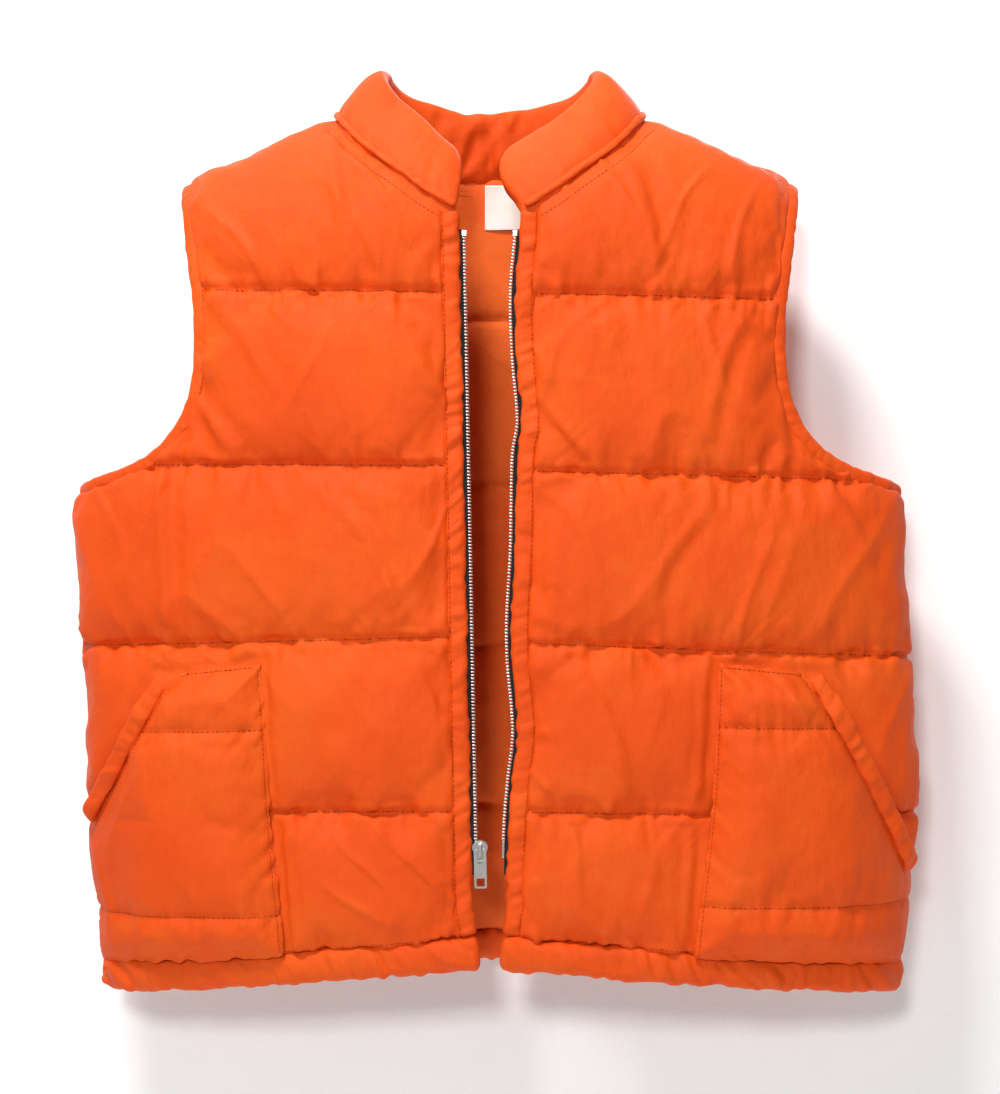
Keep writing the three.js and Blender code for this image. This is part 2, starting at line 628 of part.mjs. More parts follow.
// ---- Materials --------------------------------------------------------------------------------
const finish = (color, roughness, metalness = 0) =>
  new THREE.MeshStandardMaterial({ color, roughness, metalness, flatShading: true });
const shellCloth = () => finish(0xf2601f, 0.45);
const liningCloth = () => finish(0xc9551f, 0.75);
const wool = () => finish(0xf3efe6, 0.95);
const blackTape = () => finish(0x17161a, 0.8);
const nickel = () => finish(0xb9b8b4, 0.28, 1);
const whiteCloth = () => finish(0xecebe6, 0.8);

// ---- Assembly ---------------------------------------------------------------------------------
function addPiece(name, solid, material, parent = vest) {
  const mesh = new THREE.Mesh(toGeometry(solid), material);
  mesh.name = name;
  parent.add(mesh);
  return mesh;
}

const SIDES = { right: -1, left: 1 };
for (const [name, side] of Object.entries(SIDES)) {
  addPiece(`front_shell_${name}`, frontPanel(side, "shell"), shellCloth());
  addPiece(`front_wadding_${name}`, frontPanel(side, "wadding"), wool());
  addPiece(`front_lining_${name}`, frontPanel(side, "lining"), liningCloth());
  addPiece(`front_facing_${name}`, frontFacing(side), shellCloth());
  addPiece(`armhole_binding_${name}`, armholeBinding(side), shellCloth());
  addPiece(`hem_band_front_${name}`, hemBand("front", side), shellCloth());
  addPiece(`pocket_shell_${name}`, pocketShell(side), shellCloth());
  addPiece(`pocket_wadding_${name}`, pocketWadding(side), wool());
  addPiece(`pocket_lining_${name}`, pocketLining(side), liningCloth());
  addPiece(`pocket_mouth_${name}`, pocketMouth(side), shellCloth());
}

addPiece("back_shell", backPanel("shell"), shellCloth());
addPiece("back_wadding", backPanel("wadding"), wool());
addPiece("back_lining", backPanel("lining"), liningCloth());
addPiece("hem_band_back", hemBand("back"), shellCloth());

addPiece("collar_outer", collarOuter(), shellCloth());
addPiece("collar_wadding", collarWadding(), wool());
addPiece("collar_inner", collarInner(), liningCloth());
addPiece("neck_welt", neckWelt(), shellCloth());
addPiece("neck_tape", neckTape(), liningCloth());
addPiece("neck_label", neckLabel(), whiteCloth());

for (const [name, side] of Object.entries(SIDES)) {
  addPiece(`zip_tape_${name}`, zipTape(side), blackTape());
  addPiece(`zip_teeth_${name}`, zipTeeth(side), nickel());
  const top = placeOnChain(side, ZIP_TOP_Z + GAP + STOP.height / 2);
  addPiece(`zip_top_stop_${name}`, block(STOP.width, STOP.thick, STOP.height), nickel(), top);
  const pin = placeOnChain(side, ZIP_END_Z - GAP - PIN.length / 2);
  const pinName = side === SLIDER_SIDE ? "zip_retainer_pin" : "zip_insertion_pin";
  addPiece(pinName, block(PIN.width, PIN.width, PIN.length), nickel(), pin);
}

const boxPlace = placeOnChain(SLIDER_SIDE, BOX_TOP_Z - BOX.height / 2);
const box = addPiece("zip_retainer_box", block(BOX.width, BOX.thick, BOX.height), nickel(), boxPlace);
box.position.x = SLIDER_SHIFT;

const sliderPlace = placeOnChain(SLIDER_SIDE, SLIDER_Z);
const slider = new THREE.Group();
slider.position.x = SLIDER_SHIFT;
sliderPlace.add(slider);
addPiece("zip_slider", sliderBody(), nickel(), slider);
const bridge = addPiece("zip_slider_bridge", sliderBridge(), nickel(), slider);
bridge.position.y = -SLIDER_THICK / 2 - GAP;
const pull = addPiece("zip_pull_tab", pullTab(), nickel(), slider);
pull.position.y = bridge.position.y - (BRIDGE.rise - BRIDGE.bar) / 2;

export default vest;
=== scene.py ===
import math

import bmesh
import bpy
import numpy as np
from bpy.props import FloatProperty, FloatVectorProperty, PointerProperty
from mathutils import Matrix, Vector
from mathutils.bvhtree import BVHTree


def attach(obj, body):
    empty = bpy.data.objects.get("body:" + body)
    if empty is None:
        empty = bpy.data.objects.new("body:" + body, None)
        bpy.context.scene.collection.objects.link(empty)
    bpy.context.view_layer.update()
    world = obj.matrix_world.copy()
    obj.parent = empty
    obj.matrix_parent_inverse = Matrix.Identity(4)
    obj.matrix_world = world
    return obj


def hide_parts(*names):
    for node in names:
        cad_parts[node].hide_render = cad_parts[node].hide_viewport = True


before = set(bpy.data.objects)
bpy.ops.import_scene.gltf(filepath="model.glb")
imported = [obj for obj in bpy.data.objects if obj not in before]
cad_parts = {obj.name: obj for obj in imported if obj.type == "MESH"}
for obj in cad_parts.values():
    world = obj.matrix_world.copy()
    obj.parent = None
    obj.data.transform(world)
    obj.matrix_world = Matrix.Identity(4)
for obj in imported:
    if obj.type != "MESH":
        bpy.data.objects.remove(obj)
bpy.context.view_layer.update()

bl_info = {
    "name": "Quilted Safety Vest",
    "version": (1, 0, 0),
    "blender": (4, 5, 0),
    "location": "3D View > Sidebar > Vest",
    "description": "Sews the padded cloth, trims and zip of a hanging safety vest onto its frame",
    "category": "Add Mesh",
}

# ---- Cut of the vest, in millimetres: the frame's own sizes -----------------------------------
MM = 0.001
CHEST_HALF = 301.0
PANEL_HALF = 8.4
HEM_TAPER = 12.0
HANG_SWAY = 9.0
BODY_DEPTH = 60.0
SHOULDER_ROUND = 110.0
ROUND_PATH = 137.0  # length along the rounding of the shoulder
SHOULDER_SLOPE = 0.41
NECK_SIDE_X, NECK_SIDE_Z = 114.0, 2.0
UNDERARM_Z = -264.0
WAIST_Z = -475.0
HEM_FRONT_Z, HEM_BACK_Z, HEM_SIDE_Z = -596.0, -614.0, -622.0
HEM_BAND = 20.0
SEAM_RISE = PANEL_HALF * math.hypot(1.0, SHOULDER_SLOPE)
FACING_WIDTH = 14.0
BINDING_WIDTH = 10.0
ZIP_TOP_Z, ZIP_END_Z = -92.0, -508.0
CHAIN_TOP_X, CHAIN_END_X = 17.5, 9.5
EDGE_FROM_CHAIN = 3.6
EDGE_STRAIGHT_TO = -554.0
HEM_EDGE_X = 5.0
COLLAR_HEIGHT = 51.0
COLLAR_LEAN = {"front": 31.0, "side": 40.0, "back": 13.0}
FACES = {"front": -1.0, "back": 1.0}
SIDES = {"right": -1.0, "left": 1.0}

SHOULDER_TIP = (221.0, NECK_SIDE_Z - SHOULDER_SLOPE * (221.0 - NECK_SIDE_X))
ARMHOLE = (SHOULDER_TIP, (213, -95), (206, -150), (211, -204), (240, -242), (CHEST_HALF, UNDERARM_Z))
NECK_FRONT = ((0, -85), (17, -80), (42, -66), (62, -51), (88, -31), (104, -12), (114, 4))
NECK_BACK = ((0, -32), (35, -31), (70, -25), (99, -10), (114, 4))

# Height of each quilting seam at the middle, and how far it has dropped at the side.
QUILTING = {
    ("front", "right"): ((-488, 3), (-367, 9), (-250, -2), (-131, -6)),
    ("front", "left"): ((-488, 7), (-371, 13), (-253, 7), (-131, 4)),
    ("back", "both"): ((-498, 4), (-381, 6), (-261, 3), (-137, 0)),
}
POCKET_QUILTING = {"right": ((-556, 8), (-428, 8)), "left": ((-550, 7), (-427, 6))}

# Long folds in each front, as (points, height of the fold).
FOLDS = {
    "right": (
        (((-210, -200), (-205, -242)), 2.2),
        (((-222, -222), (-229, -250), (-226, -330), (-224, -385)), 2.4),
        (((-112, -22), (-104, -70), (-94, -118)), 2.0),
        (((-189, -127), (-170, -160), (-150, -196)), 1.6),
        (((-217, -187), (-198, -212), (-178, -238)), 2.0),
        (((-56, -168), (-42, -190), (-28, -210)), 1.8),
        (((-120, -262), (-84, -300), (-62, -352)), 1.6),
    ),
    "left": (
        (((201, -194), (203, -240), (198, -286)), 2.2),
        (((231, -254), (248, -282), (266, -312)), 2.2),
        (((96, -40), (110, -84), (116, -122)), 1.8),
        (((178, -140), (160, -180), (150, -226)), 1.8),
        (((50, -150), (40, -186), (34, -214)), 1.6),
        (((150, -276), (120, -318), (112, -352)), 1.6),
        (((60, -392), (84, -430), (92, -470)), 1.5),
    ),
}
POCKET_PRESSES = 0.55  # share by which a pocket flattens the padding under it
SIDE_OVERLAP = 0.035  # angle by which front and back run past each other at the side seams
ROW = 3.9  # size of a cloth mesh square


# ---- Numbers over whole arrays ----------------------------------------------------------------
def ease(t):
    t = np.clip(t, 0.0, 1.0)
    return t * t * (3.0 - 2.0 * t)


def mix(a, b, t):
    return a + (b - a) * t


def unit(vectors):
    length = np.linalg.norm(vectors, axis=-1, keepdims=True)
    return vectors / np.maximum(length, 1e-9)


def value_noise(x, y, seed):
    """Smooth noise from -1 to 1 on the plane, the same for the same seed."""
    x, y = np.broadcast_arrays(np.asarray(x, float), np.asarray(y, float))
    xi, yi = np.floor(x).astype(np.int64), np.floor(y).astype(np.int64)
    fx, fy = ease(x - xi), ease(y - yi)

    def corner(i, j):
        h = (xi + i) * 374761393 + (yi + j) * 668265263 + seed * 974634777
        h = (h ^ (h >> 13)) * 1274126177
        return ((h ^ (h >> 16)) & 0xFFFF) / 32767.5 - 1.0

    low = mix(corner(0, 0), corner(1, 0), fx)
    high = mix(corner(0, 1), corner(1, 1), fx)
    return mix(low, high, fy)


def layered_noise(x, y, seed, layers=3):
    total = np.zeros(np.broadcast(x, y).shape)
    for k in range(layers):
        total += value_noise(x * 2**k, y * 2**k, seed + 17 * k) / 2**k
    return total / 1.6


def smooth_line(points, count):
    """A smooth curve through the points, as count + 1 points."""
    p = np.array(points, float)
    ends = np.vstack([2 * p[0] - p[1], p, 2 * p[-1] - p[-2]])
    out = []
    for t in np.linspace(0, len(p) - 1, count + 1):
        i = min(int(t), len(p) - 2)
        u = t - i
        a, b, c, d = ends[i : i + 4]
        second, third = 2 * a - 5 * b + 4 * c - d, 3 * b - a - 3 * c + d
        out.append(0.5 * (2 * b + (c - a) * u + second * u**2 + third * u**3))
    return np.array(out)


def path_lengths(path):
    """Distance along the path to each of its points."""
    return np.concatenate([[0], np.cumsum(np.linalg.norm(np.diff(path, axis=0), axis=1))])


def resample(path, step=None, count=None):
    """The path again with even steps; returns the points and their distances along it."""
    lengths = path_lengths(path)
    count = count or max(2, round(lengths[-1] / step))
    at = np.linspace(0, lengths[-1], count + 1)
    return np.stack([np.interp(at, lengths, path[:, k]) for k in range(path.shape[1])], axis=1), at


def offset_line(line, inset):
    """The flat line moved to its left by inset."""
    way = unit(np.gradient(line, axis=0))
    return line + np.stack([-way[:, 1], way[:, 0]], axis=1) * inset


def side_of_line(x, z, line):
    """Distance of each point from the line, positive on its left as it runs."""
    best = np.full(x.shape, 1e9)
    sign = np.ones(x.shape)
    for (ax, az), (bx, bz) in zip(line[:-1], line[1:]):
        dx, dz = bx - ax, bz - az
        t = np.clip(((x - ax) * dx + (z - az) * dz) / (dx * dx + dz * dz), 0, 1)
        gap = np.hypot(x - ax - t * dx, z - az - t * dz)
        nearer = gap < best
        best = np.where(nearer, gap, best)
        sign = np.where(nearer, np.sign(dx * (z - az) - dz * (x - ax)), sign)
    return best * sign


# ---- The vest's form --------------------------------------------------------------------------
def half_width(z, side):
    taper = HEM_TAPER * ease((WAIST_Z - z) / (WAIST_Z - HEM_SIDE_Z))
    sway = HANG_SWAY * ease((UNDERARM_Z - z) / (UNDERARM_Z - WAIST_Z))
    return CHEST_HALF - PANEL_HALF - taper + side * sway


def shoulder_z(x):
    return NECK_SIDE_Z - SEAM_RISE - SHOULDER_SLOPE * (np.abs(x) - NECK_SIDE_X)


def hem_z(x, face):
    middle = HEM_FRONT_Z if face == "front" else HEM_BACK_Z
    return mix(middle, HEM_SIDE_Z, np.clip(np.abs(x) / (CHEST_HALF - HEM_TAPER), 0, 1))


def chain_x(z):
    return mix(CHAIN_TOP_X, CHAIN_END_X, (ZIP_TOP_Z - z) / (ZIP_TOP_Z - ZIP_END_Z))


def edge_x(z):
    straight = chain_x(np.maximum(z, EDGE_STRAIGHT_TO)) + EDGE_FROM_CHAIN
    to_hem = np.clip((EDGE_STRAIGHT_TO - z) / (EDGE_STRAIGHT_TO - HEM_FRONT_Z), 0, 1)
    return mix(straight, HEM_EDGE_X, to_hem)


def body_depth(x, z):
    across = x / half_width(z, np.sign(x))
    down = np.clip((shoulder_z(x) - z) / SHOULDER_ROUND, 0, 1)
    return BODY_DEPTH * np.sqrt(np.maximum(0, 1 - across**2) * (1 - (1 - down) ** 2))


def on_face(face, x, z):
    """Points of the middle surface of the front or the back."""
    return np.stack([x, FACES[face] * body_depth(x, z), z], axis=1)


def quarter_arc(width, count):
    """Angles round a quarter of the body, and the lengths of cloth from the middle to them."""
    turns = np.linspace(0, math.pi / 2, count)
    path = np.stack([width * np.sin(turns), BODY_DEPTH * np.cos(turns)], axis=1)
    return turns, path_lengths(path)


def gap_to_seams(x, z, seams):
    """Distance up or down to the nearest quilting seam."""
    return np.min([np.abs(z - level + drop * x / CHEST_HALF) for level, drop in seams], axis=0)


def unrolled(x, z):
    """Height along the cloth: z below the rounding of the shoulder, and on along its curve."""
    top = shoulder_z(x) - SHOULDER_ROUND
    turn = np.arcsin(np.clip((z - top) / SHOULDER_ROUND, 0, 1))
    return np.where(z <= top, z, top + ROUND_PATH * turn / (math.pi / 2))


def cloth_point(face, phi, height):
    """Point of the middle surface at an angle round the body and an unrolled height."""
    side = np.sign(phi)
    z = np.full(np.broadcast(phi, height).shape, WAIST_Z)
    for _ in range(6):
        x = half_width(z, side) * np.sin(phi)
        top = shoulder_z(x) - SHOULDER_ROUND
        turn = np.clip((height - top) / ROUND_PATH, 0, 1) * math.pi / 2
        z = np.where(height <= top, height, top + SHOULDER_ROUND * np.sin(turn))
    y = FACES[face] * BODY_DEPTH * np.cos(phi) * np.cos(turn)
    return np.stack([x, y, z], axis=-1)


def grid_normals(points, outward):
    """Normals of a grid of points, turned to lie along the rough directions outward."""
    across = np.gradient(points, axis=1)
    up = np.gradient(points, axis=0)
    normals = unit(np.cross(across, up))
    return normals * np.where((normals * outward).sum(-1, keepdims=True) < 0, -1.0, 1.0)


# ---- Meshes -----------------------------------------------------------------------------------
def grid_faces(rows, columns, closed_rows=False, closed_columns=False, first=0):
    quads = []
    for i in range(rows if closed_rows else rows - 1):
        for j in range(columns if closed_columns else columns - 1):
            a = first + i * columns + j
            b = first + i * columns + (j + 1) % columns
            c = first + ((i + 1) % rows) * columns + (j + 1) % columns
            d = first + ((i + 1) % rows) * columns + j
            quads.append((a, b, c, d))
    return quads


def make_piece(name, points, faces, finishes, replaces=(), body="root", face_finish=None):
    """A mesh piece from points in millimetres, which rides on a body and stands for CAD nodes."""
    mesh = bpy.data.meshes.new(name)
    mesh.from_pydata((np.asarray(points) * MM).tolist(), [], faces)
    mesh.update()
    for finish in finishes:
        mesh.materials.append(finish)
    if face_finish is not None:
        mesh.polygons.foreach_set("material_index", face_finish)
    mesh.polygons.foreach_set("use_smooth", [True] * len(mesh.polygons))
    piece = bpy.data.objects.new(name, mesh)
    bpy.context.collection.objects.link(piece)
    fix_facing(mesh)
    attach(piece, body)
    if replaces:
        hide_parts(*replaces)
    return piece


def fix_facing(mesh):
    shape = bmesh.new()
    shape.from_mesh(mesh)
    bmesh.ops.recalc_face_normals(shape, faces=shape.faces)
    shape.to_mesh(mesh)
    shape.free()


def smooth_finer(piece, levels=1):
    """Turns the mesh into its subdivided surface."""
    rounder = piece.modifiers.new("rounder", "SUBSURF")
    rounder.levels = rounder.render_levels = levels
    apply_modifiers(piece)


def apply_modifiers(piece):
    graph = bpy.context.evaluated_depsgraph_get()
    shaped = bpy.data.meshes.new_from_object(piece.evaluated_get(graph))
    old = piece.data
    piece.modifiers.clear()
    piece.data = shaped
    shaped.name = old.name
    bpy.data.meshes.remove(old)


def mesh_points(mesh):
    points = np.empty(len(mesh.vertices) * 3)
    mesh.vertices.foreach_get("co", points)
    return points.reshape(-1, 3) / MM


def set_mesh_points(mesh, points):
    mesh.vertices.foreach_set("co", (points * MM).ravel())
    mesh.update()


def mesh_normals(mesh):
    normals = np.empty(len(mesh.vertices) * 3)
    mesh.vertices.foreach_get("normal", normals)
    return normals.reshape(-1, 3)


def swept(centres, sideways, outwards, section):
    """Points of a section carried along a path: section gives (side, out) for every ring."""
    section = np.broadcast_to(section, (len(centres),) + np.shape(section)[-2:])
    return (
        centres[:, None]
        + sideways[:, None] * section[..., 0:1]
        + outwards[:, None] * section[..., 1:2]
    )


def tube_faces(rings, around, closed=False):
    faces = grid_faces(rings, around, closed_rows=closed, closed_columns=True)
    if not closed:
        faces.append(tuple(range(around))[::-1])
        last = (rings - 1) * around
        faces.append(tuple(range(last, last + around)))
    return faces


def rounded_section(width, thick, count=20, squareness=3.0):
    """Closed outline between an oval and a rounded rectangle."""
    a = np.linspace(0, 2 * math.pi, count, endpoint=False)
    c, s = np.cos(a), np.sin(a)
    return np.stack(
        [
            width / 2 * np.sign(c) * np.abs(c) ** (2 / squareness),
            thick / 2 * np.sign(s) * np.abs(s) ** (2 / squareness),
        ],
        axis=1,
    )


# ---- Finishes ---------------------------------------------------------------------------------
def new_finish(name):
    """The finish of that name, with its shader only when it is new and still to be made."""
    finish = bpy.data.materials.get(name)
    if finish:
        return finish, None
    finish = bpy.data.materials.new(name)
    finish.use_nodes = True
    return finish, finish.node_tree.nodes["Principled BSDF"]


def join(finish, source, target):
    finish.node_tree.links.new(source, target)


def noise_node(finish, scale, detail=3.0, stretch=(1, 1, 1), turn=0.0):
    """Noise over the object's own coordinates, per metre, stretched along its axes."""
    nodes = finish.node_tree.nodes
    place, spread, pattern = (
        nodes.new("ShaderNodeTexCoord"),
        nodes.new("ShaderNodeMapping"),
        nodes.new("ShaderNodeTexNoise"),
    )
    spread.inputs["Scale"].default_value = stretch
    spread.inputs["Rotation"].default_value = (0, turn, 0)
    pattern.inputs["Scale"].default_value = scale
    pattern.inputs["Detail"].default_value = detail
    join(finish, place.outputs["Object"], spread.inputs["Vector"])
    join(finish, spread.outputs["Vector"], pattern.inputs["Vector"])
    return pattern.outputs["Fac"]


def weave_node(finish, threads, across):
    """One set of parallel threads, as a wave over the object's coordinates."""
    nodes = finish.node_tree.nodes
    place, wave = nodes.new("ShaderNodeTexCoord"), nodes.new("ShaderNodeTexWave")
    wave.bands_direction = across
    wave.inputs["Scale"].default_value = threads
    wave.inputs["Distortion"].default_value = 1.5
    wave.inputs["Detail Scale"].default_value = 3.0
    join(finish, place.outputs["Object"], wave.inputs["Vector"])
    return wave.outputs["Fac"]


def ramp(finish, source, stops):
    """A colour or grey for each value of source, from (position, colour) stops."""
    node = finish.node_tree.nodes.new("ShaderNodeValToRGB")
    elements = node.color_ramp.elements
    while len(elements) < len(stops):
        elements.new(0.5)
    for element, (position, colour) in zip(elements, stops):
        element.position = position
        element.color = (*colour, 1.0)
    join(finish, source, node.inputs["Fac"])
    return node.outputs["Color"]


def vary(finish, shader, setting, source, stops):
    """Lets one setting of the shader follow source, by (position, colour or grey) stops."""
    join(finish, ramp(finish, source, stops), shader.inputs[setting])


def sum_node(finish, first, second, share):
    """first + share * second, as one number."""
    node = finish.node_tree.nodes.new("ShaderNodeMath")
    node.operation = "MULTIPLY_ADD"
    join(finish, second, node.inputs[0])
    node.inputs[1].default_value = share
    join(finish, first, node.inputs[2])
    return node.outputs["Value"]


def raise_surface(finish, shader, height, distance, strength=1.0):
    bump = finish.node_tree.nodes.new("ShaderNodeBump")
    bump.inputs["Distance"].default_value = distance
    bump.inputs["Strength"].default_value = strength
    join(finish, height, bump.inputs["Height"])
    join(finish, bump.outputs["Normal"], shader.inputs["Normal"])


def grey(value):
    return (value, value, value)


def shaded(colour, factor):
    return tuple(min(1.0, c * factor) for c in colour)


def cloth_finish(name, colour, gloss, sheen, threads=650.0, wrinkle=0.0006):
    """Woven cloth: uneven dye and gloss, a fine weave and small wrinkles."""
    finish, shader = new_finish(name)
    if shader is None:
        return finish
    dye = noise_node(finish, 9.0, detail=4.0)
    blotches = noise_node(finish, 55.0, detail=3.0)
    tone = sum_node(finish, dye, blotches, 0.35)
    for stretch in ((0.1, 1.0, 1.0), (1.0, 1.0, 0.1)):
        tone = sum_node(finish, tone, noise_node(finish, 520.0, detail=2.0, stretch=stretch), 0.22)
    warm = (colour[0], colour[1] * 1.16, colour[2] * 1.3)
    deep = (colour[0] * 0.93, colour[1] * 0.84, colour[2] * 0.8)
    vary(finish, shader, "Base Color", tone, [(0.6, deep), (0.9, colour), (1.15, warm)])
    rub = noise_node(finish, 26.0, detail=5.0)
    low, high = grey(gloss - 0.06), grey(gloss + 0.09)
    vary(finish, shader, "Roughness", rub, [(0.35, low), (0.7, high)])
    shader.inputs["Specular IOR Level"].default_value = 0.16
    shader.inputs["Sheen Weight"].default_value = sheen
    shader.inputs["Sheen Roughness"].default_value = 0.45
    shader.inputs["Sheen Tint"].default_value = (1.0, 0.4, 0.2, 1.0)
    wrinkles = noise_node(finish, 95.0, detail=4.0, stretch=(1.0, 1.0, 0.75), turn=0.35)
    crossing = noise_node(finish, 60.0, detail=3.0, stretch=(1.0, 1.0, 0.55), turn=-0.7)
    cloth = sum_node(finish, wrinkles, crossing, 0.8)
    for across in ("X", "Z"):
        cloth = sum_node(finish, cloth, weave_node(finish, threads, across), 0.035)
    raise_surface(finish, shader, cloth, wrinkle, 1.0)
    return finish


def shell_finish(colours):
    return cloth_finish("orange_taffeta", tuple(colours.shell), 0.56, 0.04, wrinkle=0.0012)


def lining_finish(colours):
    return cloth_finish("orange_lining", tuple(colours.lining), 0.74, 0.05, wrinkle=0.0009)


def thread_finish(colours):
    # Thread colour is the shell colour at 0.52. This is partly the thread's own darker colour and partly
    # painted shade, so the seam lines read dark as if shadow lay in them.
    return cloth_finish("orange_thread", shaded(tuple(colours.shell), 0.52), 0.6, 0.04, 900.0, 0.0002)


def tape_finish(colours):
    """Black zip tape: a herringbone weave with a dusty bloom."""
    finish, shader = new_finish("black_zip_tape")
    if shader is None:
        return finish
    dust = noise_node(finish, 120.0, detail=6.0)
    black = tuple(colours.tape)
    vary(finish, shader, "Base Color", dust, [(0.4, black), (0.8, shaded(black, 2.0))])
    vary(finish, shader, "Roughness", dust, [(0.3, grey(0.72)), (0.8, grey(0.9))])
    shader.inputs["Specular IOR Level"].default_value = 0.2
    rows = weave_node(finish, 420.0, "Z")
    ribs = sum_node(finish, rows, weave_node(finish, 520.0, "DIAGONAL"), 0.7)
    raise_surface(finish, shader, ribs, 0.0003, 0.9)
    return finish


def nickel_finish(colours):
    """Dull nickel: tarnished patches and fine scratches."""
    finish, shader = new_finish("zip_nickel")
    if shader is None:
        return finish
    patches = noise_node(finish, 120.0, detail=3.0)
    metal = tuple(colours.metal)
    tarnish = (metal[0] * 0.75, metal[1] * 0.72, metal[2] * 0.66)
    vary(finish, shader, "Base Color", patches, [(0.3, tarnish), (0.55, metal)])
    vary(finish, shader, "Roughness", patches, [(0.3, grey(0.42)), (0.7, grey(0.3))])
    shader.inputs["Metallic"].default_value = 1.0
    scratches = noise_node(finish, 900.0, detail=2.0, stretch=(1.0, 1.0, 0.08), turn=0.6)
    raise_surface(finish, shader, scratches, 0.00003, 0.6)
    return finish


def label_finish(colours):
    """Blank woven satin label, slightly yellowed, with a fine cross rib."""
    finish, shader = new_finish("white_label")
    if shader is None:
        return finish
    age = noise_node(finish, 60.0, detail=4.0)
    white = tuple(colours.label)
    yellowed = (white[0] * 0.97, white[1] * 0.93, white[2] * 0.84)
    vary(finish, shader, "Base Color", age, [(0.35, yellowed), (0.7, white)])
    vary(finish, shader, "Roughness", age, [(0.3, grey(0.5)), (0.7, grey(0.68))])
    ribs = sum_node(finish, weave_node(finish, 520.0, "Z"), weave_node(finish, 700.0, "X"), 0.5)
    raise_surface(finish, shader, ribs, 0.00015, 0.8)
    return finish


def wall_finish():
    """Painted wall: a faint roller texture and an uneven white."""
    finish, shader = new_finish("pale_wall")
    if shader is None:
        return finish
    stipple = noise_node(finish, 220.0, detail=4.0)
    tone = noise_node(finish, 2.0, detail=2.0)
    vary(finish, shader, "Base Color", tone, [(0.3, grey(0.92)), (0.7, grey(0.95))])
    shader.inputs["Roughness"].default_value = 0.9
    raise_surface(finish, shader, stipple, 0.0004, 0.5)
    see_through_from_behind(finish, shader)
    return finish


def see_through_from_behind(finish, shader):
    """Lets the vest be seen through the wall's and the floor's far side."""
    nodes = finish.node_tree.nodes
    side, clear, either = (
        nodes.new("ShaderNodeNewGeometry"),
        nodes.new("ShaderNodeBsdfTransparent"),
        nodes.new("ShaderNodeMixShader"),
    )
    join(finish, side.outputs["Backfacing"], either.inputs["Fac"])
    join(finish, shader.outputs["BSDF"], either.inputs[1])
    join(finish, clear.outputs["BSDF"], either.inputs[2])
    join(finish, either.outputs["Shader"], nodes["Material Output"].inputs["Surface"])


# ---- Settings ---------------------------------------------------------------------------------
class VestSizes(bpy.types.PropertyGroup):
    """Sizes of the padding and the sewing."""

    puff: FloatProperty(
        name="Puff", description="How far the front and back swell out between seams",
        default=0.0105, unit="LENGTH", subtype="DISTANCE",
    )
    seam_half: FloatProperty(
        name="Seam", description="Half the thickness of the padding where it is sewn through",
        default=0.0030, unit="LENGTH", subtype="DISTANCE",
    )
    slack: FloatProperty(
        name="Slack", description="Share by which the cloth is larger than what it is sewn to",
        default=0.05, subtype="FACTOR",
    )
    pressure: FloatProperty(
        name="Filling", description="How hard the wadding presses on the cloth", default=6.0,
    )
    stitch: FloatProperty(
        name="Stitch", description="Length from one stitch to the next",
        default=0.0034, unit="LENGTH", subtype="DISTANCE",
    )
    gather: FloatProperty(
        name="Gather", description="Depth of the gathers in bindings, bands and edges",
        default=0.0024, unit="LENGTH", subtype="DISTANCE",
    )


class VestColours(bpy.types.PropertyGroup):
    """Colours of the cloths and the metal."""

    shell: FloatVectorProperty(
        name="Shell", description="Outer cloth", subtype="COLOR", default=(0.73, 0.076, 0.004),
    )
    lining: FloatVectorProperty(
        name="Lining", description="Inner cloth", subtype="COLOR", default=(0.72, 0.108, 0.014),
    )
    tape: FloatVectorProperty(
        name="Zip tape", description="Cloth of the zip", subtype="COLOR", default=(0.012, 0.011, 0.013),
    )
    metal: FloatVectorProperty(
        name="Nickel", description="Teeth, slider and pull tab", subtype="COLOR", default=(0.60, 0.59, 0.57),
    )
    label: FloatVectorProperty(
        name="Label", description="Blank label at the neck", subtype="COLOR", default=(0.88, 0.87, 0.84),
    )


class VestPart:
    """What the vest's operators share."""

    bl_options = {"REGISTER", "UNDO"}

    def execute(self, context):
        self.build(context.scene.vest_sizes, context.scene.vest_colours)
        return {"FINISHED"}


# ---- Stage ------------------------------------------------------------------------------------
CAMERA_AWAY = 1.42  # metres from the middle of the vest to the lens
VIEW_HEIGHT = 0.7877  # height that the picture takes in at the middle of the vest
VIEW_CENTRE = (0.0072, -0.306)
WALL_Y = 0.083  # just behind the vest's back
SKY_COLOUR, SKY_STRENGTH = (1.0, 0.985, 0.97, 1.0), 0.25
LIT_POINT = (0.0, 0.0, -0.3)
SOFTBOXES = (  # name, place, width and height, watts
    ("key", (-0.42, -0.9, 1.3), (0.4, 0.35), 35.0),
    ("front", (-0.25, -2.0, 0.25), (0.25, 0.25), 18.5),
    ("behind", (0.5, 1.6, 0.9), (1.0, 1.0), 17.0),
)


def build_backdrop():
    """Wall close behind the vest, which curves into a floor below it."""
    floor_z, bend, half, near, top = -1.25, 0.25, 2.2, -2.6, 1.4
    turns = [math.pi / 2 * k / 12 for k in range(13)]
    profile = [(WALL_Y, top)]
    for a in turns:
        profile.append((WALL_Y - bend + bend * math.cos(a), floor_z + bend - bend * math.sin(a)))
    profile.append((near, floor_z))
    across = np.linspace(-half, half, 9)
    points = [(x, y, z) for y, z in profile for x in across]
    mesh = bpy.data.meshes.new("backdrop")
    mesh.from_pydata(points, [], [quad[::-1] for quad in grid_faces(len(profile), len(across))])
    mesh.materials.append(wall_finish())
    mesh.polygons.foreach_set("use_smooth", [True] * len(mesh.polygons))
    backdrop = bpy.data.objects.new("backdrop", mesh)
    bpy.context.collection.objects.link(backdrop)
    backdrop.visible_shadow = False


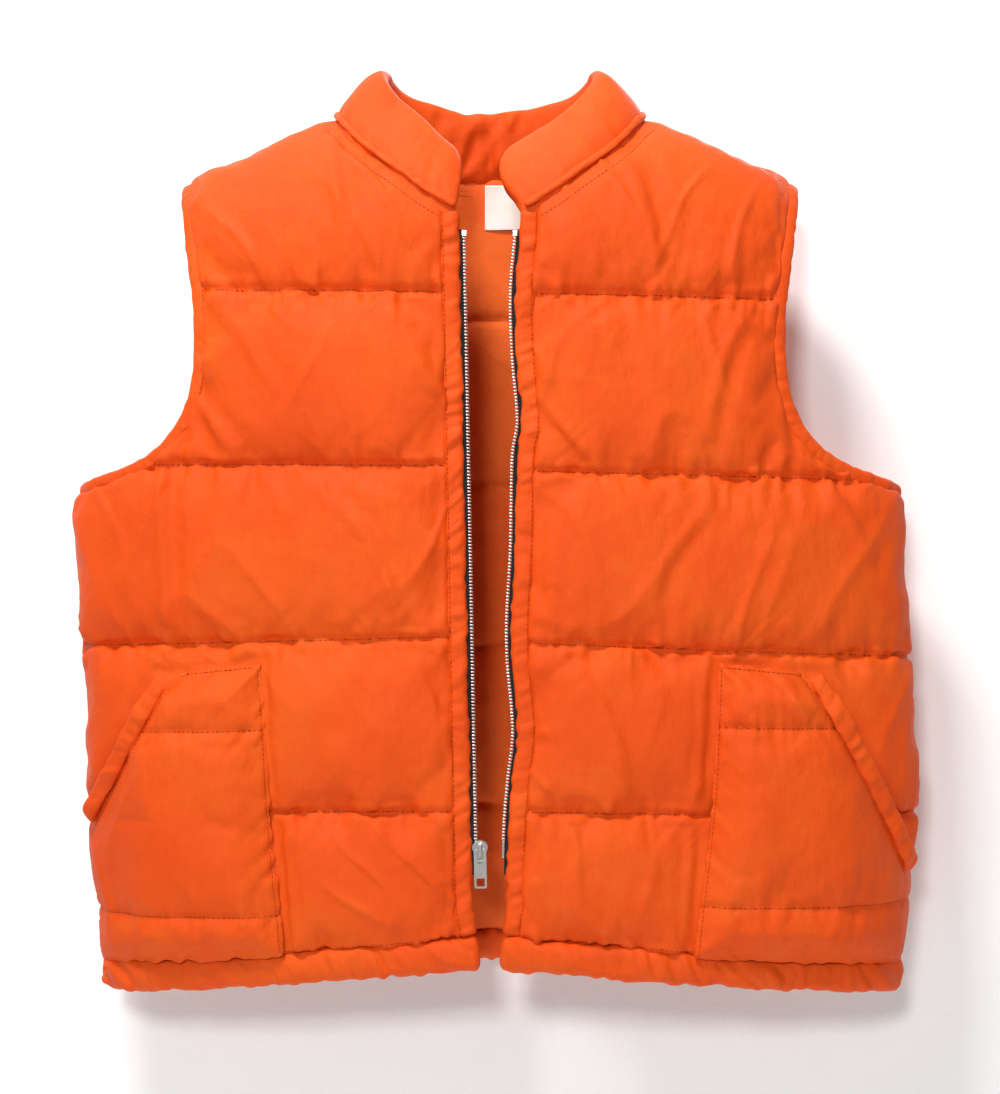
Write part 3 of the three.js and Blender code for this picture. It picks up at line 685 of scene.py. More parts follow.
def add_softbox(name, place, size, power):
    light = bpy.data.lights.new(name, "AREA")
    light.shape = "RECTANGLE"
    light.size, light.size_y = size
    light.energy = power
    lamp = bpy.data.objects.new(name, light)
    lamp.location = place
    lamp.rotation_euler = (Vector(LIT_POINT) - Vector(place)).to_track_quat("-Z", "Y").to_euler()
    bpy.context.collection.objects.link(lamp)


def build_lights():
    world = bpy.context.scene.world or bpy.data.worlds.new("studio")
    bpy.context.scene.world = world
    world.use_nodes = True
    sky = world.node_tree.nodes["Background"]
    sky.inputs["Color"].default_value = SKY_COLOUR
    sky.inputs["Strength"].default_value = SKY_STRENGTH
    for name, place, size, power in SOFTBOXES:
        add_softbox(name, place, size, power)


def build_camera():
    camera = bpy.data.cameras.new("camera")
    camera.sensor_fit = "VERTICAL"
    camera.sensor_height = 36.0
    camera.lens = camera.sensor_height * CAMERA_AWAY / VIEW_HEIGHT
    holder = bpy.data.objects.new("camera", camera)
    holder.location = (VIEW_CENTRE[0], -CAMERA_AWAY, VIEW_CENTRE[1])
    holder.rotation_euler = (math.pi / 2, 0, 0)
    bpy.context.collection.objects.link(holder)
    bpy.context.scene.camera = holder
    bpy.context.scene.view_settings.view_transform = "Standard"


class VEST_OT_stage(VestPart, bpy.types.Operator):
    """Wall, floor, soft lights and camera"""

    bl_idname = "vest.stage"
    bl_label = "Stage"

    def build(self, sizes, colours):
        build_backdrop()
        build_lights()
        build_camera()


# ---- Cloth ------------------------------------------------------------------------------------
LAYERS = ("shell", "wadding", "lining")


def swell(piece, pinned, pressure, slack, frames=14):
    """Lets sewn-down cloth swell from the filling behind it, and keeps the shape it takes."""
    sewn = piece.vertex_groups.new(name="sewn")
    sewn.add([int(i) for i in pinned], 1.0, "REPLACE")
    before = mesh_points(piece.data)
    cloth = piece.modifiers.new("filling", "CLOTH")
    how = cloth.settings
    how.quality = 4
    how.mass = 0.2
    how.tension_stiffness = how.compression_stiffness = 12
    how.shear_stiffness = 4
    how.bending_stiffness = 0.15
    how.vertex_group_mass = "sewn"
    how.shrink_min = -slack
    how.use_pressure = True
    how.uniform_pressure_force = pressure
    how.use_pressure_volume = True
    how.target_volume = 0
    how.effector_weights.gravity = 0
    cloth.collision_settings.use_collision = False
    cloth.point_cache.frame_start = 1
    cloth.point_cache.frame_end = frames
    for frame_number in range(1, frames + 1):
        bpy.context.scene.frame_set(frame_number)
    apply_modifiers(piece)
    piece.vertex_groups.clear()
    bpy.context.scene.frame_set(1)
    return mesh_points(piece.data) - before


def pillow(t, roundness=0.52):
    """Rise of stuffed cloth from 0 at a seam to 1 in the middle, for t from 0 to 1."""
    return np.maximum(0, 1 - (1 - np.clip(t, 0, 1)) ** 2.2) ** roundness


def puckers(along, away, seed, pitch=8.0, reach=13.0):
    """Small gathers and slanting rays that a row of stitches draws in, dying out away from it."""
    length = reach * (0.6 + 0.9 * (value_noise(along / 23, 0.5, seed) + 1) / 2)
    lean = away * 0.25 * value_noise(along / 60, 3.5, seed + 5)
    ridge = value_noise((along + lean) / pitch, away / 40, seed + 1)
    fine = value_noise((along - lean) / (pitch * 0.45), away / 25, seed + 2)
    drawn_in = 0.75 * ridge + 0.4 * fine
    drawn_in = np.where(drawn_in < 0, 1.3 * drawn_in, drawn_in) * np.exp(-away / length)
    spread = along + 0.95 * away * np.sign(value_noise(along / 55, 9.5, seed + 6))
    rays = crest(value_noise(spread / 11, away / 90, seed + 7)) * value_noise(along / 26, 5.5, seed + 8)
    return drawn_in + 0.85 * rays * np.exp(-away / (1.7 * reach)) * ease(away / 2)


def creases(x, z, seed):
    """Slanting folds of hanging cloth with sharp crests, from about -0.5 to 1."""
    warp_x = 20 * value_noise(x / 70, z / 70, seed)
    warp_z = 20 * value_noise(x / 70, z / 70, seed + 1)
    slant = value_noise((x + z * 0.6 + warp_x) / 34, (z - x * 0.6 + warp_z) / 120, seed + 2)
    other = value_noise((x - z * 0.45 + warp_z) / 38, (z + x * 0.45 + warp_x) / 130, seed + 3)
    soft = value_noise((x + z * 0.3 + warp_x) / 19, (z - x * 0.3) / 80, seed + 4)
    where = ease(0.5 + 0.9 * value_noise(x / 75, z / 60, seed + 5))
    return where * crest(slant) + (1 - where) * crest(other) + 0.45 * soft


def crest(wave):
    """A narrow ridge along the line where wave is zero."""
    return np.maximum(0, 1 - np.abs(wave) / 0.3) ** 1.6 - 0.15


def long_folds(x, z, side_name):
    """The few long folds that start at the armhole, the shoulder and the seams."""
    total = np.zeros(x.shape)
    for line, depth in FOLDS.get(side_name, ()):
        line = smooth_line(line, 8)
        gap = side_of_line(x, z, line)
        ends = np.min([np.hypot(x - end[0], z - end[1]) for end in (line[0], line[-1])], axis=0)
        fade = 0.35 + 0.65 * ease(ends / 22)
        total += depth * fade * (np.exp(-((gap / 4.5) ** 2)) - 0.7 * np.exp(-(((gap - 9) / 6) ** 2)))
    return total


class Panel:
    """A quilted panel as a grid of cloth squares, row by row from the hem to the shoulder."""

    def __init__(self, face, side_name):
        self.face, self.side_name = face, side_name
        self.side = SIDES.get(side_name, 0.0)
        self.levels = QUILTING[(face, side_name)]
        self.phi = self._angles()
        self.rows, self.seam_rows = self._rows()
        self.middle = cloth_point(face, self.phi[None, :], self.rows)
        outward = self.middle * np.array([0.25, 1.0, 0.0]) + np.array([0, 0, 20.0])
        self.normal = grid_normals(self.middle, outward)
        self.inside = self._inside()

    def _angles(self):
        turns, lengths = quarter_arc(CHEST_HALF - PANEL_HALF, 400)
        count = round(lengths[-1] / ROW)
        half = np.interp(np.linspace(0, lengths[-1], count + 1), lengths, turns)
        half[-1] += SIDE_OVERLAP
        if self.face == "back":
            return np.concatenate([-half[:0:-1], half])
        return self.side * half

    def seam_height(self, level, x):
        z, drop = level
        return z - drop * np.abs(x) / CHEST_HALF

    def _rows(self):
        bound = half_width(UNDERARM_Z, self.side) * np.sin(self.phi)
        low = half_width(hem_z(bound, self.face), np.sign(self.phi)) * np.sin(self.phi)
        marks = [hem_z(low, self.face) + HEM_BAND]
        for level in self.levels:
            x = half_width(np.full_like(bound, level[0]), np.sign(self.phi)) * np.sin(self.phi)
            marks.append(unrolled(x, self.seam_height(level, x)))
        marks.append(shoulder_z(bound) - SHOULDER_ROUND + ROUND_PATH)
        rows, seams = [marks[0]], [0]
        for low, high in zip(marks[:-1], marks[1:]):
            count = max(3, round(float(np.median(high - low)) / ROW))
            rows += [mix(low, high, k / count) for k in range(1, count + 1)]
            seams.append(len(rows) - 1)
        return np.array(rows), seams

    def _inside(self):
        """Distance into the panel from its cut edges: negative outside the cut."""
        x, z = np.abs(self.middle[..., 0]), self.middle[..., 2]
        arm = np.array(smooth_line(ARMHOLE, 20).tolist() + [[CHEST_HALF + 80, UNDERARM_Z]])
        arm = np.vstack([[SHOULDER_TIP[0], 120], arm])
        neck = smooth_line(NECK_FRONT if self.face == "front" else NECK_BACK, 20)
        neck = np.vstack([[-40, neck[0, 1]], neck, [[NECK_SIDE_X + 6, 160]]])
        inside = np.minimum(-side_of_line(x, z, arm) - 0.65 * BINDING_WIDTH, -side_of_line(x, z, neck) + 2.0)
        if self.face == "front":
            edge = edge_x(z) + edge_wave(z, self.side_name)
            inside = np.minimum(inside, x - edge - FACING_WIDTH + 3.0)
        return inside

    def cut(self):
        """Cells of the grid that are cloth, with the outer corners drawn in onto the cut edge."""
        inside, keep = self.inside, np.zeros(self.inside.shape, bool)
        touched = inside > 0
        cell = touched[:-1, :-1] | touched[1:, :-1] | touched[:-1, 1:] | touched[1:, 1:]
        for i in (0, 1):
            for j in (0, 1):
                keep[i : i + cell.shape[0], j : j + cell.shape[1]] |= cell
        moved = self.middle.copy()
        rows, columns = inside.shape
        for i, j in zip(*np.where(keep & ~touched)):
            best = None
            for di in (-1, 0, 1):
                for dj in (-1, 0, 1):
                    a, b = i + di, j + dj
                    if 0 <= a < rows and 0 <= b < columns and inside[a, b] > 0:
                        share = inside[a, b] / (inside[a, b] - inside[i, j])
                        if best is None or share > best[0]:
                            best = (share, a, b)
            share, a, b = best
            moved[i, j] = mix(self.middle[a, b], self.middle[i, j], share)
        self.middle = moved
        self.inside = np.where(touched, inside, 0.0)
        return cell, keep

    def seam_distance(self):
        """Distance of every point from the nearest quilting seam, and the half height there."""
        rows = self.rows
        gap = np.min([np.abs(rows - rows[k]) for k in self.seam_rows], axis=0)
        half = np.zeros_like(rows)
        for low, high in zip(self.seam_rows[:-1], self.seam_rows[1:]):
            half[low : high + 1] = (rows[high] - rows[low]) / 2
        return gap, half


def build_quilt(face, side_name, sizes, outside, lining):
    """One padded panel: outer cloth blown up by the wadding, lining, and closed edges."""
    panel = Panel(face, side_name)
    cell, keep = panel.cut()
    seam_gap, half = panel.seam_distance()
    number = -np.ones(keep.shape, int)
    number[keep] = np.arange(keep.sum())
    quads = [
        (number[i, j], number[i, j + 1], number[i + 1, j + 1], number[i + 1, j])
        for i, j in zip(*np.where(cell))
    ]
    edge = np.minimum(np.maximum(panel.inside, 0), 60.0)
    side_gap = (math.pi / 2 - np.abs(panel.phi))[None, :] * 90.0
    shoulder_gap = panel.rows[-1] - panel.rows
    sewn = np.minimum(np.minimum(seam_gap, edge), np.minimum(side_gap, shoulder_gap))
    loft = pillow(sewn / np.minimum(half, 34.0))
    if face == "front":
        loft = loft * (1 - POCKET_PRESSES * pocket_cover(panel.middle[..., 0], panel.middle[..., 2]))
    seed = {"right": 11, "left": 47, "both": 83}[side_name]
    flat = panel.middle + panel.normal * sizes.seam_half / MM
    start = flat + panel.normal * (0.35 * loft * sizes.puff / MM)[..., None]
    name = f"{face}_quilt" + ("" if side_name == "both" else f"_{side_name}")
    lift = loft * sizes.puff / MM
    shift = panel.normal * lift[..., None]
    trial = make_piece(name + "_trial", start[keep], quads, [outside])
    pinned = np.where(sewn[keep] < 0.3 * ROW)[0]
    moved = np.zeros(start.shape)
    moved[keep] = swell(trial, pinned, sizes.pressure, sizes.slack)
    bpy.data.objects.remove(trial)
    swelled = start - flat + moved
    out = (swelled * panel.normal).sum(-1)
    loose = swelled - panel.normal * out[..., None]
    most = sizes.puff / MM * 1.35
    out = np.where(out > 0, most * np.tanh(out / most), out * 0.4)
    shift = panel.normal * (0.35 * lift + 0.65 * out)[..., None] + np.clip(loose, -4, 4)
    inner_lift = sizes.seam_half / MM + 5.5 * loft
    inner = panel.middle - panel.normal * inner_lift[..., None]
    node_name = f"front_{{}}_{side_name}" if face == "front" else "back_{}"
    outer = (flat + shift)[keep]
    piece = padded_piece(name, outer, inner[keep], quads, (outside, lining), node_name)
    crease_quilt(piece, panel, seed)


def crease_quilt(piece, panel, seed):
    """Small gathers along the quilting seams and the cut edges, and soft folds between them."""
    points = mesh_points(piece.data)
    normals = mesh_normals(piece.data)
    x, z = points[:, 0], points[:, 2]
    height = unrolled(x, z)
    seams = [unrolled(x, panel.seam_height(level, x)) for level in panel.levels]
    seams.append(hem_z(x, panel.face) + HEM_BAND)
    gaps = np.abs(height - np.array(seams))
    nearest = np.argmin(gaps, axis=0)
    gap = gaps.min(axis=0)
    outer = (points * normals * (1, 1, 0)).sum(-1) > 0
    shifted = x + 137.0 * nearest + 53.0 * (height > np.array(seams)[nearest, np.arange(len(x))])
    drawn = puckers(shifted + 400.0 * ~outer, gap, seed)
    loft = ease(gap / 22)
    folds = creases(x, z, seed + 9) * (0.2 + 0.8 * loft) * np.where(outer, 1.0, 0.5)
    folds = folds * ease((shoulder_z(x) - z) / 45)
    depth = np.where(outer, 3.0, 1.6) * drawn + 2.2 * folds - 1.9 * np.exp(-((gap / 2.1) ** 2))
    if panel.face == "front":
        depth = depth * (1 - 0.7 * pocket_cover(x, z)) + long_folds(x, z, panel.side_name)
    set_mesh_points(piece.data, points + normals * depth[:, None])


def rim_edges(quads):
    """Edges that only one square has, each as it runs round that square."""
    edges = {edge: None for quad in quads for edge in zip(quad, quad[1:] + quad[:1])}
    return [(a, b) for a, b in edges if (b, a) not in edges]


def padded_piece(name, outer, inner, quads, finishes, node_name):
    """Outer cloth and lining joined round their rim; it stands for three layers of the frame."""
    count = len(outer)
    rim = rim_edges(quads)
    faces = quads + [tuple(count + v for v in quad[::-1]) for quad in quads]
    faces += [(b, a, count + a, count + b) for a, b in rim]
    slots = [0] * len(quads) + [1] * len(quads) + [0] * len(rim)
    nodes = [node_name.format(layer) for layer in LAYERS]
    piece = make_piece(name, np.vstack([outer, inner]), faces, finishes, nodes, face_finish=slots)
    smooth_finer(piece)
    return piece


class VEST_OT_quilts(VestPart, bpy.types.Operator):
    """Padded, quilted fronts and back"""

    bl_idname = "vest.quilts"
    bl_label = "Quilted panels"

    def build(self, sizes, colours):
        cloths = shell_finish(colours), lining_finish(colours)
        for face, side in QUILTING:
            build_quilt(face, side, sizes, *cloths)


# ---- Folded and gathered strips ---------------------------------------------------------------
# How far the left front edge, with its tape and teeth, hangs out of line: (height, outwards).
EDGE_WAVE = ((-92, 0), (-130, -2.4), (-174, -0.5), (-218, 4), (-245, 1), (-307, 1), (-353, -0.6),
             (-385, 0.3), (-432, 5), (-467, 2.2), (-508, 0), (-600, 0))


def edge_wave(z, side_name):
    if side_name != "left":
        return np.zeros_like(z)
    line = smooth_line(EDGE_WAVE, 60)[::-1]
    return np.interp(z, line[:, 0], line[:, 1])


def surface_out(points):
    """The way out of the body's middle surface at each of its points."""
    width = half_width(points[:, 2], np.sign(points[:, 0]))
    return unit(np.stack([points[:, 0] / width**2, points[:, 1] / BODY_DEPTH**2, 0 * width], axis=1))


def path_frames(centres, outwards):
    """Ways across and out of a strip whose centres run along a path."""
    along = unit(np.gradient(centres, axis=0))
    outwards = unit(outwards - along * (outwards * along).sum(-1, keepdims=True))
    return np.cross(outwards, along), outwards


def gathers(along, across, seed, lean):
    """Ridges of cloth bunched up by its stitching, slanting across a strip."""
    slant = along + lean * across * (0.4 + value_noise(along / 45, 7.5, seed + 4))
    bunched = 0.65 + 0.35 * value_noise(along / 28, 2.5, seed + 3)
    coarse = value_noise(slant / 4.8, across / 15, seed)
    fine = value_noise(slant / 2.5, across / 8, seed + 1)
    lumps = value_noise(slant / 12, across / 30, seed + 2)
    return bunched * (0.7 * coarse + 0.45 * fine) + 0.5 * lumps


def gathered_strip(
    name, centres, outwards, size, depth, seed, finish, replaces, closed=False, around=20, lean=0.8
):
    """A stuffed strip of folded cloth along a path, bunched up across its length."""
    width, thick = size
    centres, along = resample(centres, step=1.9)
    if closed:
        centres, along = centres[:-1], along[:-1]
    outwards = outwards(centres)
    sideways, outwards = path_frames(centres, outwards)
    section = rounded_section(width, thick, around, 2.4)
    across, face = section[None, :, 0], section[None, :, 1] / (thick / 2)
    run = along[:, None]
    ridge = gathers(run, across, seed, lean)
    edge = (np.abs(across) / (width / 2)) ** 3
    side = across * (1 + 0.05 * value_noise(run / 31, 0.5, seed + 8))
    side = side + 0.55 * depth * np.sign(across) * edge * value_noise(run / 5.2, 1.5, seed + 6)
    plump = 1 + 0.10 * value_noise(run / 24, 4.5, seed + 7)
    out = section[None, :, 1] * plump + depth * ridge * np.sign(face) * np.abs(face) ** 0.6
    points = swept(centres, sideways, outwards, np.stack([side, out], axis=-1))
    if not closed:
        round_ends(points, centres)
    faces = tube_faces(len(centres), around, closed)
    piece = make_piece(name, points.reshape(-1, 3), faces, [finish], replaces)
    smooth_finer(piece)
    return piece


def round_ends(points, centres):
    """Draws the last rings of a tube together, so that its ends are rounded."""
    for ring, share in ((0, 0.6), (1, 0.9), (-2, 0.9), (-1, 0.6)):
        points[ring] = mix(centres[ring], points[ring], share)


def facing_path(side_name):
    side = SIDES[side_name]
    z = np.linspace(-73.0, HEM_FRONT_Z + HEM_BAND + 2, 120)
    x = side * (edge_x(z) + FACING_WIDTH / 2 - 0.6 + edge_wave(z, side_name))
    return on_face("front", x, z)


class VEST_OT_facings(VestPart, bpy.types.Operator):
    """Folded strips along the two front edges"""

    bl_idname = "vest.facings"
    bl_label = "Front edges"

    def build(self, sizes, colours):
        for side_name, seed in (("right", 201), ("left", 231)):
            gathered_strip(
                f"front_edge_{side_name}", facing_path(side_name), surface_out, (FACING_WIDTH, 9.0),
                sizes.gather / MM, seed, shell_finish(colours), [f"front_facing_{side_name}"],
            )


def armhole_loop(side, inset):
    """Closed path round an armhole, a little way in from its cut edge."""
    x, z = offset_line(smooth_line(ARMHOLE, 60), -inset).T
    z = np.minimum(z, shoulder_z(x))
    x = side * np.minimum(x, half_width(z, side))
    loop = np.vstack([on_face("front", x, z), on_face("back", x, z)[::-1][1:-1]])
    for _ in range(3):
        loop = (np.roll(loop, 1, axis=0) + 2 * loop + np.roll(loop, -1, axis=0)) / 4
    return np.vstack([loop, loop[:1]])


def away_from(inner_loop):
    """The way out of the cloth round an opening, for a strip that lies between two loops."""

    def outwards(centres):
        count = len(centres)
        inner, _ = resample(inner_loop, count=count)
        along = unit(np.roll(centres, -1, axis=0) - np.roll(centres, 1, axis=0))
        return unit(np.cross(along, inner[:-1] - centres))

    return outwards


class VEST_OT_bindings(VestPart, bpy.types.Operator):
    """Bindings round the two armholes"""

    bl_idname = "vest.bindings"
    bl_label = "Armhole bindings"

    def build(self, sizes, colours):
        for side_name, seed in (("right", 261), ("left", 291)):
            side = SIDES[side_name]
            middle = armhole_loop(side, BINDING_WIDTH / 2)
            gathered_strip(
                f"armhole_trim_{side_name}", middle, away_from(armhole_loop(side, BINDING_WIDTH)),
                (BINDING_WIDTH + 1.5, 8.5), 0.6 * sizes.gather / MM, seed, shell_finish(colours),
                [f"armhole_binding_{side_name}"], closed=True,
            )


def hem_path(face, first, last):
    phi = np.linspace(first, last, 240)
    x = half_width(np.full_like(phi, HEM_SIDE_Z), np.sign(phi)) * np.sin(phi)
    return cloth_point(face, phi, hem_z(x, face) + HEM_BAND / 2 + 0.8)


class VEST_OT_hems(VestPart, bpy.types.Operator):
    """Stuffed bands along the hem"""

    bl_idname = "vest.hems"
    bl_label = "Hem bands"

    def build(self, sizes, colours):
        start = math.asin((HEM_EDGE_X + 2) / (CHEST_HALF - HEM_TAPER))
        quarter = math.pi / 2 + SIDE_OVERLAP
        spans = {
            "hem_band_front_right": ("front", -start, -quarter),
            "hem_band_front_left": ("front", start, quarter),
            "hem_band_back": ("back", -quarter, quarter),
        }
        for k, (node, span) in enumerate(spans.items()):
            gathered_strip(
                node.replace("hem_band", "hem_roll"), hem_path(*span), surface_out,
                (HEM_BAND + 4.0, 15.5), 1.5 * sizes.gather / MM, 321 + 30 * k, shell_finish(colours),
                [node], around=28, lean=1.3,
            )


# ---- Collar and neck --------------------------------------------------------------------------
COLLAR_DROOP = 13.0  # how far the left front end of the collar falls towards the middle
COLLAR_HALF_THICK = 9.6
COLLAR_FOOT = -6.0  # depth to which the collar reaches into its seam


def neck_seam():
    """Path of the neck seam, from the wearer's right front round the back to the left."""
    half = [(x, -float(body_depth(x, z)), z) for x, z in smooth_line(NECK_FRONT, 14)
            if x >= CHAIN_TOP_X + EDGE_FROM_CHAIN - 4 and shoulder_z(x) > z + 1]
    x = NECK_SIDE_X - 6
    half.append((x, 0.0, shoulder_z(x)))
    half += [(x, float(body_depth(x, z)), z) for x, z in smooth_line(NECK_BACK, 12)[::-1]
             if shoulder_z(x) > z + 1]
    half = np.array(half)
    other = half[:-1][::-1] * (-1, 1, 1)
    path, _ = resample(smooth_line(np.vstack([half, other]), 400), step=2.2)
    return path * (-1, 1, 1)


def collar_frames(foot):
    inward = unit(foot * (-1, -1.6, 0))
    back = np.clip(foot[:, 1] / BODY_DEPTH, 0, 1)
    lean = mix(COLLAR_LEAN["front"], COLLAR_LEAN["back"], ease(back * 1.4))
    lean = np.radians(mix(lean, COLLAR_LEAN["side"], 1 - np.abs(inward[:, 1])))[:, None]
    up = np.array([0, 0, 1]) * np.cos(lean) + inward * np.sin(lean)
    out = unit(np.cross(unit(np.gradient(foot, axis=0)), up))
    return up, out * np.where((out * inward).sum(-1, keepdims=True) > 0, -1, 1)


def collar_section(around):
    """Outline of the stuffed collar, narrow at the foot, as (rise, out) shares."""
    a = np.linspace(0, 2 * math.pi, around, endpoint=False)
    rise = 0.5 + 0.5 * np.sign(np.sin(a)) * np.abs(np.sin(a)) ** 0.8
    out = np.sign(np.cos(a)) * np.abs(np.cos(a)) ** 0.75
    return rise, out * (0.62 + 0.38 * ease(rise / 0.4)) * (1 - 0.1 * rise)


class VEST_OT_collar(VestPart, bpy.types.Operator):
    """Padded stand-up collar"""

    bl_idname = "vest.collar"
    bl_label = "Collar"

    def build(self, sizes, colours):
        foot = neck_seam()
        up, out = collar_frames(foot)
        _, along = resample(foot, count=len(foot) - 1)
        around = 44
        rise, reach = collar_section(around)
        run = along[:, None]
        from_end = np.minimum(run, along[-1] - run)
        corner = np.sqrt(np.clip(1 - (1 - np.clip(from_end / 16, 0, 1)) ** 2, 0, 1))
        crumple = np.exp(-(((run - along[-1] / 2) / 42) ** 2))
        tall = (COLLAR_HEIGHT + 1.5) * mix(0.62, 1.0, corner) + 1.6 * value_noise(run / 27, 1.5, 402)
        tall = tall - 3.0 * crumple * (1 + value_noise(run / 11, 3.5, 404))
        height = COLLAR_FOOT + rise[None, :] * (tall - COLLAR_FOOT)
        half = COLLAR_HALF_THICK * mix(0.5, 1.0, corner) * (1 + 0.08 * value_noise(run / 20, 2.5, 403))
        foot_folds = value_noise(run / 6.5, height / 40, 405) * np.exp(-np.maximum(height, 0) / 17)
        soft = layered_noise(run / 24 + height / 50, height / 21, 406)
        outside = np.sign(reach)[None, :] * np.abs(reach)[None, :] ** 0.5
        crushed = value_noise(run / 9 - height / 30, height / 15, 409) * crumple
        ripple = 1.5 * foot_folds + 1.2 * soft + 3.6 * crushed
        thick = reach[None, :] * half + outside * ripple
        points = foot[:, None] + up[:, None] * height[..., None] + out[:, None] * thick[..., None]
        droop = ease(1 - (along[-1] - run) / 50) * ease(height / 30)
        points[..., 0] -= COLLAR_DROOP * droop
        names = ("collar_outer", "collar_wadding", "collar_inner")
        faces = tube_faces(len(foot), around)
        piece = make_piece("collar_roll", points.reshape(-1, 3), faces, [shell_finish(colours)], names)
        smooth_finer(piece)


class VEST_OT_neck(VestPart, bpy.types.Operator):
    """Seam ridge, tape and blank label at the neck"""

    bl_idname = "vest.neck"
    bl_label = "Neck trim"

    def build(self, sizes, colours):
        self.add_welt(sizes, colours)
        tape = self.add_tape(colours)
        self.add_label(colours, tape)

    def add_welt(self, sizes, colours):
        foot = neck_seam()[1:-1]
        up, out = collar_frames(foot)
        rise = 1.5 + 11 * up[:, :1] ** 2
        centres = foot + up * rise + out * 7.4

        def outwards(points):
            nearest = np.argmin(((points[:, None] - centres[None]) ** 2).sum(-1), axis=1)
            return out[nearest]

        gathered_strip(
            "neck_seam_ridge", centres, outwards, (5.4, 4.0), 0.4 * sizes.gather / MM, 431,
            shell_finish(colours), ["neck_welt"], around=16,
        )

    def add_tape(self, colours):
        across = np.linspace(-82, 82, 110)
        line = smooth_line(NECK_BACK, 40)
        top = np.interp(np.abs(across), line[:, 0], line[:, 1]) - 1.0
        down = np.linspace(0, 12, 8)[:, None]
        x = np.broadcast_to(across, (8, 110))
        z = top[None, :] - down
        inwards = 4.6 + 0.22 * down + 0.5 * value_noise(x / 14, down / 9, 441)
        y = body_depth(x, z) - inwards
        points = np.stack([x, y, z], -1)
        piece = cloth_sheet("neck_binding_tape", points, 0.8, lining_finish(colours), "neck_tape")
        return piece

    def add_label(self, colours, tape):
        across, down = np.meshgrid(np.linspace(-4, 30, 24), np.linspace(-1, 32, 24))
        z = NECK_BACK[0][1] - 6.0 - down
        curl = 1.8 * ease(down / 32) * np.cos((across - 13) / 17 * 1.3)
        y = body_depth(across, z) - 9.4 - curl - 0.5 * value_noise(across / 15, down / 12, 447)
        points = np.stack([across, y, z], -1)
        piece = cloth_sheet("blank_neck_label", points, 0.45, label_finish(colours), "neck_label")


def cloth_sheet(name, points, thick, finish, node):
    """A thin sheet of cloth from a grid of points, with real thickness."""
    rows, columns = points.shape[:2]
    piece = make_piece(name, points.reshape(-1, 3), grid_faces(rows, columns), [finish], [node])
    smooth_finer(piece)
    skin = piece.modifiers.new("skin", "SOLIDIFY")
    skin.thickness = thick * MM
    skin.offset = 0
    apply_modifiers(piece)
    return piece


# ---- Pockets ----------------------------------------------------------------------------------
POCKET_TOP = ((156, -386), (229, -394))
POCKET_INNER_LOW = (139, -600)
POCKET_SLANT = ((229, -394), (257, -447), (285, -502), (308, -562))
POCKET_TRIM = 12.0  # width of the strip along the mouth
# Height of a pocket's cloth over the middle of the front below it: near the zip, and at the side.
POCKET_RIM_LEVEL = (10.5, 6.0)
POCKET_BELLY = (9.5, 2.0)  # how much higher it lies away from its seams
MOUTH_SINKS = 8.5  # how much lower it lies under the strip along the mouth
MOUTH_LEVEL = (8.0, 17.5)  # height of the strip at its upper end, and below that
SIDE_REACH = 75.0  # length of cloth over which a pocket flattens towards the side
PATCH = (44, 52)  # squares across and up a pocket


def arc_table(side):
    """Angles round the lower front, and the lengths of cloth from the middle to them."""
    return quarter_arc(half_width(np.array(HEM_FRONT_Z), side), 300)


def onto_cloth(line, side):
    """Points (x, z) of the front as (length of cloth from the middle, z)."""
    turns, lengths = arc_table(side)
    line = np.array(line, float)
    share = np.clip(line[:, 0] / half_width(line[:, 1], side), 0, 1)
    return np.stack([np.interp(np.arcsin(share), turns, lengths), line[:, 1]], axis=1)


def pocket_edges(side):
    """The four edges of a pocket, each from its lower or inner end, on the flat cloth."""
    seam = HEM_FRONT_Z + HEM_BAND
    slope = (POCKET_INNER_LOW[0] - POCKET_TOP[0][0]) / (POCKET_INNER_LOW[1] - POCKET_TOP[0][1])
    low_x = POCKET_TOP[0][0] + slope * (hem_z(140.0, "front") + HEM_BAND - POCKET_TOP[0][1])
    bottom_x = np.linspace(low_x, half_width(seam, side), 40)
    bottom = onto_cloth(np.stack([bottom_x, hem_z(bottom_x, "front") + HEM_BAND], axis=1), side)
    inner = onto_cloth([(low_x, bottom[0, 1]), POCKET_TOP[0]], side)
    top = onto_cloth(POCKET_TOP, side)
    slant = smooth_line(POCKET_SLANT, 40)
    slant = slant[slant[:, 0] < half_width(slant[:, 1], side)]
    mouth = onto_cloth(slant, side)[::-1]
    outer = np.vstack([bottom[-1:], [[bottom[-1, 0], mouth[0, 1] - 6]], mouth])
    return bottom, top, inner, outer, mouth


def patch_between(bottom, top, inner, outer):
    """Grid of points stretched between four edges."""
    across, up = PATCH
    b, t = resample(bottom, count=across)[0][None], resample(top, count=across)[0][None]
    i, o = resample(inner, count=up)[0][:, None], resample(outer, count=up)[0][:, None]
    u = np.linspace(0, 1, across + 1)[None, :, None]
    v = np.linspace(0, 1, up + 1)[:, None, None]
    corners = mix(mix(b[:, :1], b[:, -1:], u), mix(t[:, :1], t[:, -1:], u), v)
    return mix(b, t, v) + mix(i, o, u) - corners


def off_cloth(flat, side, level):
    """Flat cloth points (length, z) carried onto the front, at a level above its middle."""
    turns, lengths = arc_table(side)
    phi = side * np.interp(flat[..., 0], lengths, turns)
    points = cloth_point("front", phi, flat[..., 1])
    out = surface_out(points.reshape(-1, 3)).reshape(points.shape)
    return points + out * np.asarray(level)[..., None], out


def nearing_side(length):
    """0 on the inner part of a pocket, rising to 1 at the side."""
    return ease((length - length.max() + SIDE_REACH) / SIDE_REACH)


def gap_to(flat, line):
    return np.abs(side_of_line(flat[..., 0], flat[..., 1], line))


